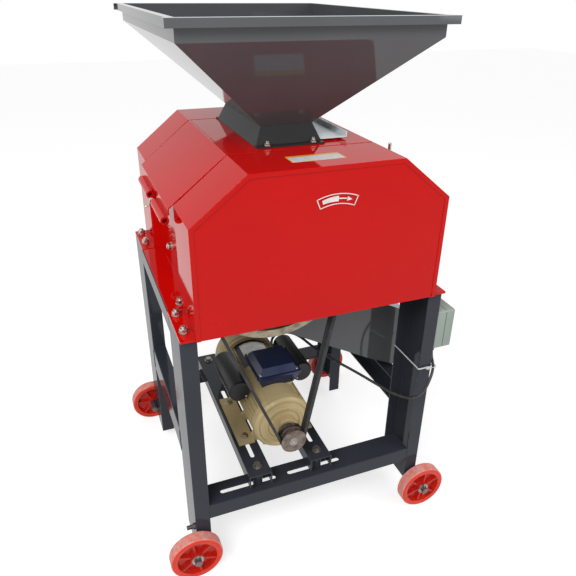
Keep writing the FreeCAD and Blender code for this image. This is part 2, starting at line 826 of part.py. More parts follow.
def make_roller(x, y_front, y_back, phase):
    """A fluted grinding roller with its shaft."""
    mid = (inner_front_y + inner_rear_y) / 2
    y0 = mid - roller_len / 2
    y1 = mid + roller_len / 2
    corners = []
    for i in range(flute_count):
        for k, r in ((0.0, roller_r), (0.55, roller_r), (0.75, roller_r - flute_depth)):
            a = 2 * math.pi * (i + k + phase) / flute_count
            corners.append((x + r * math.cos(a), roller_z + r * math.sin(a)))
    drum = prism_y(corners, y0, y1)
    shoulder = cyl_y(shaft_r + 6, inner_front_y + 2, inner_rear_y - 2, x, roller_z)
    shaft = cyl_y(shaft_r, y_front, y_back, x, roller_z)
    return fuse([drum, shoulder, shaft])


def shaft_span():
    front = pulley_front_y - 6
    back = housing_rear_y + bearing_len + gear_width + 16
    return front, back


def gear_profile(teeth, x, z, turn):
    """Involute tooth outline with a few points on each flank."""
    pitch_r = gear_module * teeth / 2
    base_r = pitch_r * math.cos(math.radians(20))
    tip_r = pitch_r + 0.92 * gear_module
    root_r = pitch_r - 1.25 * gear_module
    inv = math.tan(math.radians(20)) - math.radians(20)
    half = math.pi / (2 * teeth) - gear_backlash / (2 * pitch_r)
    flank = []
    steps = 4
    for k in range(steps + 1):
        r = base_r + (tip_r - base_r) * k / steps
        roll = math.acos(base_r / r)
        flank.append((r, half + inv - (math.tan(roll) - roll)))
    corners = []
    for i in range(teeth):
        mid = turn + 2 * math.pi * i / teeth
        side = [(root_r, flank[0][1])] + flank
        for r, a in side:
            corners.append((x + r * math.cos(mid - a), z + r * math.sin(mid - a)))
        for r, a in reversed(side):
            corners.append((x + r * math.cos(mid + a), z + r * math.sin(mid + a)))
    return corners


def make_gear(teeth, x, turn):
    y0 = housing_rear_y + bearing_len + 8
    y1 = y0 + gear_width
    body = prism_y(gear_profile(teeth, x, roller_z, turn), y0, y1)
    inner = gear_module * teeth / 2 - 3.2 * gear_module
    recess = cyl_y(inner, y1 - 12, y1 + 1, x, roller_z).cut(cyl_y(shaft_r * 1.7, y1 - 13, y1 + 2, x, roller_z))
    return body.cut([recess, cyl_y(shaft_r, y0 - 1, y1 + 1, x, roller_z)])


def make_bearings():
    """Square flanged bearing housings on the outside of both end walls."""
    shapes = []
    for face_y, out in ((housing_front_y, -1), (housing_rear_y, 1)):
        for x in (drive_x, driven_x):
            f0, f1 = sorted((face_y, face_y + out * bearing_flange_t))
            half = bearing_r
            flange = box(x - half, x + half, f0, f1, roller_z - half, roller_z + half)
            ups = [v.Point for v in flange.Vertexes]
            flange = flange.makeFillet(14, edges_along(flange, Vector(0, 1, 0), ups))
            b0, b1 = sorted((face_y, face_y + out * bearing_len))
            boss = Part.makeCone(half - 6, half - 16, bearing_len, Vector(x, face_y, roller_z), Vector(0, out, 0))
            bore = cyl_y(shaft_r + run_gap, b0 - 1, b1 + 1, x, roller_z)
            body = fuse([flange, boss]).cut(bore)
            for sx in (-1, 1):
                for sz in (-1, 1):
                    bx = x + sx * bearing_half_pitch
                    bz = roller_z + sz * bearing_half_pitch
                    h0, h1 = sorted((face_y + out * bearing_flange_t, face_y + out * (bearing_flange_t + 8)))
                    body = body.fuse(cyl_y(8, h0, h1, bx, bz))
            shapes.append(body)
    return Part.makeCompound(shapes)


# body

def hood_outline(inset, low):
    """Outline of the bevelled hood, inset evenly from its outer faces."""
    run = guard_half_x - guard_top_half_x
    rise = guard_top_z - guard_shoulder_z
    slant = math.hypot(run, rise)
    side = guard_half_x - inset
    top = guard_top_z - inset
    shoulder = guard_shoulder_z - inset * (slant - rise) / run
    ridge = guard_top_half_x - inset * (slant - run) / rise
    return [(-side, low), (-side, shoulder), (-ridge, top), (ridge, top), (side, shoulder), (side, low)]


def make_guard():
    """Front hood: a folded wrapper, and a face with a lip that hangs in front of the deck plate."""
    wrap = prism_y(hood_outline(0, deck_z), 0, guard_depth)
    hollow = prism_y(hood_outline(sheet_t, deck_z - 1), -1, guard_depth + 1)
    face = prism_y(hood_outline(0, top_z), lip_t, guard_front_t)
    lip = prism_y(hood_outline(0, top_z), 0, lip_t)
    lip = lip.cut(prism_y(hood_outline(lip_w, top_z - 1), -1, lip_t + 1))
    return fuse([wrap.cut(hollow), face, lip])


def make_rear_guard():
    guard = make_guard().mirror(Vector(0, 0, 0), Vector(0, 1, 0))
    guard.translate(Vector(0, body_depth, 0))
    return guard


def deck_spots():
    x = frame_half_x - 18
    front = [(s * x, y) for s in (-1, 1) for y in (frame_front_y + 28, guard_depth - 26)]
    rear = [(s * x, body_depth - y) for s in (-1, 1) for y in (frame_front_y + 12, guard_depth - 46)]
    return front, rear


def make_base_plate(rear):
    """Deck plate under a guard, open in the middle for the pulley, belts and gears."""
    y0 = guard_front_t + soft_gap
    plate = box(-frame_half_x, frame_half_x, y0, guard_depth, top_z, deck_z)
    reach = guard_half_x - 35
    plate = plate.cut(box(-reach, reach, y0 + 8, guard_depth - angle_size, top_z - 1, deck_z + 1))
    if rear:
        plate = plate.mirror(Vector(0, 0, 0), Vector(0, 1, 0))
        plate.translate(Vector(0, body_depth, 0))
    spots = deck_spots()[1 if rear else 0]
    return plate.cut([cyl_z(bolt_r + hole_gap, top_z - 1, deck_z + 1, x, y) for x, y in spots])


def make_end_wall(y0):
    wall = prism_y(hood_outline(seam_depth, top_z), y0, y0 + wall_t)
    tools = [cyl_y(shaft_r + 9, y0 - 1, y0 + wall_t + 1, x, roller_z) for x in (drive_x, driven_x)]
    return wall.cut(tools)


def make_side_wall():
    """Plain side wall with its foot folded out over the frame."""
    x = side_wall_x
    wall = box(-x, -x + sheet_t, inner_front_y, inner_rear_y, top_z, side_wall_top_z)
    foot = box(-frame_half_x + 2, -x + sheet_t, inner_front_y, inner_rear_y, top_z, deck_z)
    top = box(-x, -x + 14, inner_front_y, inner_rear_y, side_wall_top_z - sheet_t, side_wall_top_z)
    hole = cyl_z(bolt_r + hole_gap, top_z - 1, deck_z + 1, -foot_bolt_x(), foot_bolt_y())
    return fuse([wall, foot, top]).cut(hole)


def foot_bolt_x():
    return (side_wall_x + frame_half_x) / 2 - 8


def foot_bolt_y():
    return inner_front_y + 22


def hinge_spans():
    return [(y, y + barrel_len) for y in (barrel_front_y, barrel_rear_y)]


def make_left_wall():
    """The left wall also carries the two hinge pins on welded brackets."""
    parts = [make_side_wall()]
    for y0, y1 in hinge_spans():
        b0 = y1 + bracket_gap
        lug = box(-hinge_x, -side_wall_x, b0, b0 + bracket_t, hinge_z - bracket_half_h, hinge_z + bracket_half_h)
        eye = cyl_y(bracket_half_h, b0, b0 + bracket_t, -hinge_x, hinge_z)
        pin = cyl_y(hinge_pin_r, y0 + 18, b0 + bracket_t + 1, -hinge_x, hinge_z)
        parts += [lug, eye, pin]
    return fuse(parts)


def cover_section(x_in, side):
    """Sloping cover sheet from the ridge down to its turned edge, for side -1 or 1."""
    run = cover_half_x - guard_top_half_x
    rise = guard_top_z - cover_low_z
    slant = math.hypot(run, rise)
    t = sheet_t
    outer = [(x_in, guard_top_z), (guard_top_half_x, guard_top_z), (cover_half_x, cover_low_z),
             (cover_half_x, cover_low_z - cover_lip)]
    low = cover_low_z - t * (slant - rise) / run
    ridge = guard_top_half_x - t * (slant - run) / rise
    inner = [(cover_half_x - t, cover_low_z - cover_lip), (cover_half_x - t, low), (ridge, guard_top_z - t),
             (x_in, guard_top_z - t)]
    return [(side * x, z) for x, z in outer + inner]


def make_top_cover():
    y0 = inner_front_y
    y1 = inner_rear_y
    left = guard_top_half_x - 6
    right = prism_y(cover_section(0, 1), y0, y1)
    flat = box(-left, 0, y0, y1, guard_top_z - sheet_t, guard_top_z)
    rest = cyl_z(rest_r, guard_top_z - sheet_t / 3, gate_z - soft_gap, gate_out_x - rest_back,
                 throat_front_y + 2 * rest_r)
    slope = (guard_top_z - cover_low_z) / (cover_half_x - guard_top_half_x)
    stud_z = guard_top_z - slope * stud_out
    stud = cyl_z(stud_r, stud_z - stud_root, stud_z + stud_height, guard_top_half_x + stud_out,
                 inner_front_y + 3 * stud_r)
    body = fuse([right, flat, rest, stud])
    x = throat_half_x - 2
    mouth = box(nip_x - x, nip_x + x, throat_front_y + 2, throat_rear_y - 2, guard_top_z - 2 * sheet_t, guard_top_z + 1)
    return body.cut([mouth] + [cyl_z(collar_bolt_r + hole_gap, guard_top_z - 2 * sheet_t, guard_top_z + 1, x, y)
                               for x, y in collar_spots()])


def make_inspection_cover():
    """Left cover sheet with two hinge barrels along its lower edge."""
    y0 = inner_front_y + soft_gap
    y1 = inner_rear_y - soft_gap
    section = cover_section(guard_top_half_x - 6 + ridge_gap, -1)
    parts = [prism_y(section, y0, y1)]
    tools = []
    for a, b in hinge_spans():
        parts.append(cyl_y(barrel_r, a, b, -hinge_x, hinge_z))
        parts.append(box(-cover_half_x, -cover_half_x + sheet_t, a, b, hinge_z, cover_low_z - cover_lip + 1))
        tools.append(cyl_y(hinge_pin_r + run_gap, a - 1, b + 1, -hinge_x, hinge_z))
    return fuse(parts).cut(tools)


# feed

def collar_rects(half_x, front, rear, z):
    return rect(nip_x - half_x, nip_x + half_x, front, rear, z)


def collar_spots():
    front = throat_front_y - collar_flare_y - collar_flange / 2
    rear = throat_rear_y + collar_flare_y + collar_flange / 2
    return [(nip_x + s * collar_bolt_half_x, y) for s in (-1, 1) for y in (front, rear)]


def gate_span():
    """Front and rear edges of the gate, just inside the collar's sloping walls."""
    slope = collar_flare_y / collar_height
    inset = collar_wall + slope * (gate_rise + gate_t) + gate_side_gap - collar_flare_y
    return throat_front_y + inset, throat_rear_y - inset


def make_collar():
    """Throat collar: tapered walls with two foot flanges, and a slot and ledges for the gate."""
    low = guard_top_z
    high = collar_top_z
    bx = throat_half_x + collar_flare_x
    by0 = throat_front_y - collar_flare_y
    by1 = throat_rear_y + collar_flare_y
    outer = loft(collar_rects(bx, by0, by1, low), collar_rects(throat_half_x, throat_front_y, throat_rear_y, high))
    w = collar_wall
    inner = loft(collar_rects(bx - w, by0 + w, by1 - w, low - 0.001),
                 collar_rects(throat_half_x - w, throat_front_y + w, throat_rear_y - w, high + 0.001))
    fl = collar_flange
    flange = box(nip_x - bx, nip_x + bx, by0 - fl, by1 + fl, low, low + collar_flange_t)
    flange = flange.cut(box(nip_x - bx - 1, nip_x + bx + 1, by0 + w, by1 - w, low - 1, high))
    g0, g1 = gate_span()
    ledge_z = gate_z - soft_gap
    ledges = [box(nip_x - bx, nip_x + bx, by0, g0 + 10, low, ledge_z),
              box(nip_x - bx, nip_x + bx, g1 - 10, by1, low, ledge_z)]
    ledges = [ledge.common(outer) for ledge in ledges]
    side = gate_side_gap / 2
    slot = box(nip_x + throat_half_x - 12, nip_x + bx + 1, g0 - side, g1 + side, ledge_z, ledge_z + gate_slot_h)
    holes = [cyl_z(collar_bolt_r + hole_gap, low - 1, high, x, y) for x, y in collar_spots()]
    return fuse([outer.cut(inner), flange.cut(holes)] + ledges).cut(slot)


def make_feed_gate():
    """Slide plate with an upturned pull lip, shown half drawn."""
    y0, y1 = gate_span()
    x1 = gate_out_x
    x0 = x1 - gate_len
    plate = box(x0, x1, y0, y1, gate_z, gate_z + gate_t)
    lip = box(x1 - gate_t, x1, y0, y1, gate_z, gate_z + gate_lip_h)
    body = fuse([plate, lip])
    return body.makeFillet(1.2, edges_along(body, Vector(0, 1, 0), [Vector(x1, y0, gate_z)]))


def hopper_rect(offset, z, top):
    if top:
        return rect(-hopper_half_x + offset, hopper_half_x - offset, hopper_front_y + offset,
                    hopper_rear_y - offset, z)
    x = throat_half_x - offset
    return rect(nip_x - x, nip_x + x, throat_front_y + offset, throat_rear_y - offset, z)


def make_hopper():
    """Sheet hopper: tapered shell, upright band and a folded rim with notched corners."""
    z0 = collar_top_z
    z1 = hopper_shoulder_z
    z2 = hopper_top_z
    t = hopper_t
    shell = loft(hopper_rect(0, z0, False), hopper_rect(0, z1, True))
    hollow = loft(hopper_rect(t * 1.3, z0 - 0.001, False), hopper_rect(t * 1.3, z1 + 0.001, True))
    hx = hopper_half_x
    y0 = hopper_front_y
    y1 = hopper_rear_y
    s = t * 1.3
    band = box(-hx, hx, y0, y1, z1, z2).cut(box(-hx + s, hx - s, y0 + s, y1 - s, z1 - 1, z2 + 1))
    r = hopper_rim
    drop = hopper_rim_drop
    notch = 6.0
    rims = []
    for a, b in ((y0 - r, y0 + 1), (y1 - 1, y1 + r)):
        rim = box(-hx - r, hx + r, a, b, z2 - drop, z2)
        core = box(-hx - r - 1, hx + r + 1, a + t if a < y0 else a - 1, b + 1 if a < y0 else b - t,
                   z2 - drop - 1, z2 - t)
        rims.append(rim.cut(core))
    for side in (-1, 1):
        a, b = sorted((side * (hx - 1), side * (hx + r - notch)))
        rim = box(a, b, y0 - 1, y1 + 1, z2 - drop, z2)
        c, d = sorted((side * (hx - 2), side * (hx + r - notch - t)))
        rims.append(rim.cut(box(c, d, y0 - 2, y1 + 2, z2 - drop - 1, z2 - t)))
    return fuse([shell.cut(hollow), band] + rims)


# discharge chute

def chute_floor_z(x):
    return chute_start_z - math.tan(math.radians(chute_slope_deg)) * (x - chute_start_x)


def chute_outline(shift_up, shift_roof):
    start = chute_start_x
    drop = math.tan(math.radians(chute_slope_deg)) * (chute_end_x - chute_roof_x)
    return [(start, chute_floor_z(start) + shift_up), (start, deck_z + chute_flange_h),
            (chute_roof_x, deck_z + chute_flange_h), (chute_roof_x, deck_z - 4 - shift_roof),
            (chute_end_x, deck_z - 4 - drop - shift_roof), (chute_end_x, chute_floor_z(chute_end_x) + shift_up)]


def pinch_block(inset, out):
    """Plan outline of the chute: straight, then drawn in after the fold, as a tall block."""
    y0 = inner_front_y + inset
    y1 = inner_rear_y - inset
    start = chute_start_x - out
    end = chute_end_x + out
    corners = [(start, y0), (chute_fold_x, y0), (end, y0 + chute_pinch), (end, y1 - chute_pinch),
               (chute_fold_x, y1), (start, y1)]
    points = [Vector(x, y, 0) for x, y in corners]
    return Part.Face(Part.makePolygon(points + points[:1])).extrude(Vector(0, 0, deck_z + 200))


def make_chute():
    """Sheet discharge chute, open above under the rollers and open at its right end."""
    t = chute_t
    outer = prism_y(chute_outline(0, 0), inner_front_y, inner_rear_y).common(pinch_block(0, 0))
    fall = t / math.cos(math.radians(chute_slope_deg))
    core = prism_y(chute_outline(fall, fall), inner_front_y, inner_rear_y).common(pinch_block(t, 0))
    body = outer.cut(core)
    mouth = box(chute_end_x - 0.5, chute_end_x + 1, inner_front_y, inner_rear_y, 0, deck_z)
    body = body.cut(mouth.common(prism_y(chute_outline(fall, fall), inner_front_y, inner_rear_y)).common(
        pinch_block(t, 2)))
    start = chute_start_x
    open_top = box(start + t, chute_roof_x - t, inner_front_y + t, inner_rear_y - t, deck_z, deck_z + 90)
    return body.cut(open_top)


# deck bolts and collar bolts

def make_deck_bolts():
    shapes = []
    front, rear = deck_spots()
    for x, y in front + rear:
        shapes.append(nut_on(x, y, deck_z, bolt_r, plate_t, 10))
    for s in (-1, 1):
        shapes.append(nut_on(s * foot_bolt_x(), foot_bolt_y(), deck_z, bolt_r, plate_t, 10))
    return Part.makeCompound(shapes)


def nut_on(x, y, z, r, grip, h):
    """A hexagon nut and washer on a stud of radius r that comes up through a plate."""
    seat = z + washer_t
    parts = [cyl_z(2 * r, z, seat, x, y), hexagon(1.75 * r, seat, seat + h, x, y)]
    parts.append(cyl_z(r, z - grip, seat + h + 5, x, y))
    return fuse(parts)


def make_collar_bolts():
    shapes = []
    for x, y in collar_spots():
        shapes.append(nut_on(x, y, guard_top_z + collar_flange_t, collar_bolt_r, collar_flange_t + sheet_t / 2, 5))
    return Part.makeCompound(shapes)


# switch box

def make_switch_base():
    x0 = frame_half_x
    x1 = x0 + switch_base_d
    y0 = switch_front_y
    y1 = y0 + switch_width
    z0 = switch_low_z
    z1 = z0 + switch_height
    w = switch_wall
    shell = box(x0, x1, y0, y1, z0, z1)
    shell = shell.makeFillet(5, edges_along(shell, Vector(1, 0, 0), [v.Point for v in shell.Vertexes]))
    tools = [box(x0 + w, x1 + 1, y0 + w, y1 - w, z0 + w, z1 - w)]
    for x, y in gland_spots():
        tools.append(cyl_z(gland_r - 2, z0 - 1, z0 + w + 1, x, y))
    return shell.cut(tools)


def gland_spots():
    x = frame_half_x + switch_base_d / 2
    return [(x, switch_front_y + switch_width * 0.3), (x, switch_front_y + switch_width * 0.7)]


def button_spots():
    y = switch_front_y + switch_width / 2
    return [(y, switch_low_z + switch_height * 0.68), (y, switch_low_z + switch_height * 0.32)]


def make_switch_cover():
    x0 = frame_half_x + switch_base_d
    x1 = x0 + switch_cover_d
    y0 = switch_front_y
    y1 = y0 + switch_width
    z0 = switch_low_z
    z1 = z0 + switch_height
    w = switch_wall
    shell = box(x0, x1, y0, y1, z0, z1)
    shell = shell.makeFillet(5, edges_along(shell, Vector(1, 0, 0), [v.Point for v in shell.Vertexes]))
    rims = [e for e in shell.Edges if min(v.Point.x for v in e.Vertexes) > x1 - 0.01]
    shell = shell.makeChamfer(4, rims)
    tools = [box(x0 - 1, x1 - w, y0 + w + 1, y1 - w - 1, z0 + w + 1, z1 - w - 1)]
    for y, z in button_spots():
        tools.append(cyl_x(button_r + run_gap, x1 - w - 1, x1 + 1, y, z))
    return shell.cut(tools)


def make_button(spot, proud):
    y, z = spot
    x1 = frame_half_x + switch_base_d + switch_cover_d
    cap = cyl_x(button_r, x1 - switch_wall - button_travel, x1 + proud, y, z)
    cap = cap.makeChamfer(1, [e for e in cap.Edges if e.Vertexes[0].Point.x > x1 and e.Closed])
    collar_x = x1 - switch_wall - soft_gap
    collar = cyl_x(button_r + 2, collar_x - button_travel, collar_x, y, z)
    return fuse([cap, collar])


def make_glands():
    shapes = []
    for x, y in gland_spots():
        z1 = switch_low_z + switch_wall
        body = fuse([hexagon(gland_r, switch_low_z - 8, switch_low_z, x, y),
                     cyl_z(gland_r - 2, switch_low_z - gland_len, z1, x, y)])
        shapes.append(body.cut(cyl_z(gland_bore_r, switch_low_z - gland_len - 1, z1 + 1, x, y)))
    x, y, z = lead_gland_spot()
    body = fuse([cyl_y(gland_r, y, y + 8, x, z), cyl_y(gland_r - 2, y - 16, y + gland_len, x, z)])
    shapes.append(body.cut(cyl_y(gland_bore_r, y - 17, y + gland_len + 1, x, z)))
    return Part.makeCompound(shapes)


def lead_points():
    """Middle line of the motor lead, from the terminal box round the leg to the switch box."""
    x, y, z = lead_gland_spot()
    gx, gy = gland_spots()[0]
    return [Vector(x, y - 8, z), Vector(x, y + 40, z), Vector(-4, 388, 474), Vector(18, 418, 476),
            Vector(50, 426, 478), Vector(82, 405, 479), Vector(99, 366, 479), Vector(109, 328, 476),
            Vector(127, 295, 467), Vector(152, 256, 456), Vector(184, 212, 447), Vector(216, 166, 437),
            Vector(246, 112, 429), Vector(272, 58, 427), Vector(296, 12, 436), Vector(314, -11, 458),
            Vector(329, -15, 484), Vector(341, -11, 507), Vector(354, -2, 524), Vector(370, 18, 535),
            Vector(gx, gy, switch_low_z - gland_len - 18), Vector(gx, gy, switch_low_z - 4)]


def cord_line(points):
    """Straight runs joined by tangent arcs; also gives the tightest radius and the length."""
    edges = []
    tightest = 1e9
    last = points[0]
    for before, corner, after in zip(points, points[1:], points[2:]):
        come = corner - before
        go = after - corner
        reach = 0.45 * min(come.Length, go.Length)
        come.normalize()
        go.normalize()
        half = come.getAngle(go) / 2
        radius = reach / math.tan(half)
        tightest = min(tightest, radius)
        inward = (go - come).normalize()
        start = corner - come * reach
        end = corner + go * reach
        middle = corner + inward * (radius / math.cos(half) - radius)
        edges.append(Part.LineSegment(last, start).toShape())
        edges.append(Part.Arc(start, middle, end).toShape())
        last = end
    edges.append(Part.LineSegment(last, points[-1]).toShape())
    return Part.Wire(edges), tightest


def make_motor_lead():
    points = lead_points()
    line, tightest = cord_line(points)
    ring = Part.Wire(Part.makeCircle(cord_r, points[0], points[1] - points[0]))
    tube = line.makePipeShell([ring], True, False)
    expected = math.pi * cord_r ** 2 * line.Length
    print("motor lead: length", round(line.Length), "tightest radius", round(tightest),
          "volume ratio", round(tube.Volume / expected, 4))
    return tube


def export(name, shape):
    placed = shape.copy()
    placed.translate(Vector(0, -origin_y, 0))
    placed.exportStep("parts/" + name + ".step")


def main():
    leg_fl, leg_fr, leg_rl, leg_rr = make_legs()
    export("leg_front_left", leg_fl)
    export("leg_front_right", leg_fr)
    export("leg_rear_left", leg_rl)
    export("leg_rear_right", leg_rr)
    export("front_beam", make_cross_beam(frame_front_y, False))
    export("rear_beam", make_cross_beam(frame_rear_y - leg_depth, True))
    side = make_side_beam()
    export("side_beam_left", side)
    export("side_beam_right", mirror_x(side))
    top = make_top_side_rail()
    export("top_rail_left", top)
    export("top_rail_right", mirror_x(top))
    front_in = frame_front_y + leg_depth
    export("top_rail_front", make_top_cross_rail(front_in, front_in - angle_size))
    rear_in = frame_rear_y - leg_depth
    export("top_rail_rear", make_top_cross_rail(rear_in, rear_in + angle_size))
    export("motor_rail_left", make_motor_rail(rail_left_x))
    export("motor_rail_right", make_motor_rail(rail_right_x))
    export("rail_spacers", make_spacers())
    export("rail_bolts", make_rail_bolts())
    front = make_wheel(wheel_front_y, 20)
    rear = make_wheel(wheel_rear_y, 5)
    export("wheel_front_left", front)
    export("wheel_front_right", mirror_x(front))
    export("wheel_rear_left", rear)
    export("wheel_rear_right", mirror_x(rear))
    export("wheel_axles", make_axles())
    export("axle_keepers", make_axle_keepers())
    export("motor_housing", make_motor_housing())
    export("motor_bell", make_motor_bell())
    export("fan_cowl", make_fan_cowl())
    export("terminal_base", make_terminal_base())
    export("terminal_cover", make_terminal_cover())
    export("capacitors", make_capacitors())
    export("motor_bolts", make_motor_bolts())
    export("motor_shaft", make_motor_shaft())
    export("motor_pulley", make_motor_pulley())
    export("main_pulley", make_main_pulley())
    export("drive_belts", make_belts())
    shaft_front, shaft_back = shaft_span()
    bearing_front = housing_front_y - bearing_len - 4
    export("drive_roller", make_roller(drive_x, shaft_front, shaft_back, 0.0))
    export("driven_roller", make_roller(driven_x, bearing_front, shaft_back, 0.5))
    export("drive_gear", make_gear(gear_drive_teeth, drive_x, 0.0))
    gap_turn = math.pi + math.pi / gear_driven_teeth
    export("driven_gear", make_gear(gear_driven_teeth, driven_x, gap_turn))
    export("bearing_housings", make_bearings())
    export("front_guard", make_guard())
    export("rear_guard", make_rear_guard())
    export("front_base_plate", make_base_plate(False))
    export("rear_base_plate", make_base_plate(True))
    export("housing_front_wall", make_end_wall(housing_front_y))
    export("housing_rear_wall", make_end_wall(inner_rear_y))
    export("housing_left_wall", make_left_wall())
    export("housing_right_wall", mirror_x(make_side_wall()))
    export("top_cover", make_top_cover())
    export("inspection_cover", make_inspection_cover())
    export("discharge_chute", make_chute())
    export("throat_collar", make_collar())
    export("hopper", make_hopper())
    export("feed_gate", make_feed_gate())
    export("deck_nuts", make_deck_bolts())
    export("collar_nuts", make_collar_bolts())
    export("switch_base", make_switch_base())
    export("switch_cover", make_switch_cover())
    start, stop = button_spots()
    export("start_button", make_button(start, button_proud))
    export("stop_button", make_button(stop, button_proud + 2))
    export("cable_glands", make_glands())
    export("motor_lead", make_motor_lead())


main()
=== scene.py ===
import json
import math

import bmesh
import bpy
from mathutils import Matrix, Vector


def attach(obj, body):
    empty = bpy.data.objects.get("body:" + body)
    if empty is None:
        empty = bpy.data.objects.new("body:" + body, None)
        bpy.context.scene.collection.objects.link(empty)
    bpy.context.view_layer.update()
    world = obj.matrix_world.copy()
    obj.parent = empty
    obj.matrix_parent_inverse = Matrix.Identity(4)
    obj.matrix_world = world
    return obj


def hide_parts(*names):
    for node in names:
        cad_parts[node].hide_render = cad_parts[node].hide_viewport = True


# Places are written in the millimetres of the part's source: X along the guard,
# Y from the guard's face to the back, Z up. at() turns them into the shared frame's metres.
# Sizes that go straight into a mesh or a shader are metres.
MM = 1000
DEPTH_SHIFT = 415.5

# the camera that was fitted to the photograph: angles in degrees, focal length in pixels
CAMERA_TURN = (21.58, 27.92, 0.69)
CAMERA_PLACE = (-540.9, -1118.0, 1522.0)
FOCAL_PIXELS = 576.6
PICTURE_PIXELS = 576
SENSOR_MM = 36

# what the part gives to the pieces that sit on it
SHAFT = (-67, 380)
MAIN_SHAFT = (-120, 940)
MOTOR_R = 82
WHEEL = (372, 75)
LEG_X = 362
AXLE_X = 364.6
BEAM_JOINT_X = 320
COVER_TOP_Z = 1169

# plain levels of the room: 1 is white
ROOM_LIGHT = 0.54
FLOOR_TONE = 0.6
FLOOR_GLOW = 0.62

# the middle of a noise texture's range
MIDDLE = (0.3, 0.7)


def at(x, y, z):
    return Vector((x, y - DEPTH_SHIFT, z)) / MM


def spread(start, end, parts):
    """Even steps from start to end, both with it."""
    return [start + (end - start) * i / parts for i in range(parts + 1)]


def turns(count):
    """Angles once round, in radians."""
    return [2 * math.pi * i / count for i in range(count)]


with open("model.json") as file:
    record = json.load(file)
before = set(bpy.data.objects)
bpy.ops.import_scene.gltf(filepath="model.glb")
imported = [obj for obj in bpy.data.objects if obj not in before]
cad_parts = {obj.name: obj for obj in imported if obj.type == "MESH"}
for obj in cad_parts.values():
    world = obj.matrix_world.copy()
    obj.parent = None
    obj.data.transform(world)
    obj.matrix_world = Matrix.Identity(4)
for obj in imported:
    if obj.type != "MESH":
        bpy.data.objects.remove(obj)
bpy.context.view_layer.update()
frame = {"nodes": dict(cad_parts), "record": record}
nodes = frame["nodes"]


# camera and lead

def make_camera():
    yaw, pitch, roll = (math.radians(a) for a in CAMERA_TURN)
    forward = Vector((math.sin(yaw) * math.cos(pitch), math.cos(yaw) * math.cos(pitch),
                      -math.sin(pitch)))
    level = Vector((math.cos(yaw), -math.sin(yaw), 0))
    side = level * math.cos(roll) + level.cross(forward) * math.sin(roll)
    up = side.cross(forward)
    cam = bpy.data.objects.new("camera", bpy.data.cameras.new("camera"))
    bpy.context.scene.collection.objects.link(cam)
    turn = Matrix((side, up, -forward)).transposed()
    cam.matrix_world = Matrix.Translation(at(*CAMERA_PLACE)) @ turn.to_4x4()
    cam.data.sensor_width = SENSOR_MM
    cam.data.lens = SENSOR_MM * FOCAL_PIXELS / PICTURE_PIXELS
    cam.data.clip_start = 0.05
    bpy.context.scene.camera = cam


def nurbs(name, points, radius):
    data = bpy.data.curves.new(name, "CURVE")
    data.dimensions = "3D"
    data.resolution_u = 12
    data.bevel_depth = radius
    data.bevel_resolution = 4
    data.use_fill_caps = True
    line = data.splines.new("NURBS")
    line.points.add(len(points) - 1)
    for point, place in zip(line.points, points):
        point.co = (*at(*place), 1)
    line.order_u = 3
    line.use_endpoint_u = True
    made = bpy.data.objects.new(name, data)
    bpy.context.scene.collection.objects.link(made)
    return made


def make_lead(jacket):
    """The motor lead, through the same points as the CAD lead."""
    points = [(-12, 296.3, 473.5), (-12, 344.3, 473.5), (-4, 388, 474), (18, 418, 476),
              (50, 426, 478), (82, 405, 479), (99, 366, 479), (109, 328, 476), (127, 295, 467),
              (152, 256, 456), (184, 212, 447), (216, 166, 437), (246, 112, 429), (272, 58, 427),
              (296, 12, 436), (314, -11, 458), (329, -15, 484), (341, -11, 507), (354, -2, 524),
              (370, 18, 535), (377, 46, 554), (377, 46, 586)]
    lead = nurbs("lead_tube", points, 0.00425)
    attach(lead, "stand")
    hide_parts("motor_lead")
    lead.data.materials.append(jacket)


# materials

def linear(*rgb):
    """A colour as a picture shows it, 0 to 255, as the linear values that shaders take."""
    values = [c / 255 for c in rgb]
    return tuple([v / 12.92 if v <= 0.04045 else ((v + 0.055) / 1.055) ** 2.4 for v in values]
                 + [1.0])


def shade(base, times, plus=0.0):
    return tuple([min(1.0, c * times + plus) for c in base[:3]] + [1.0])


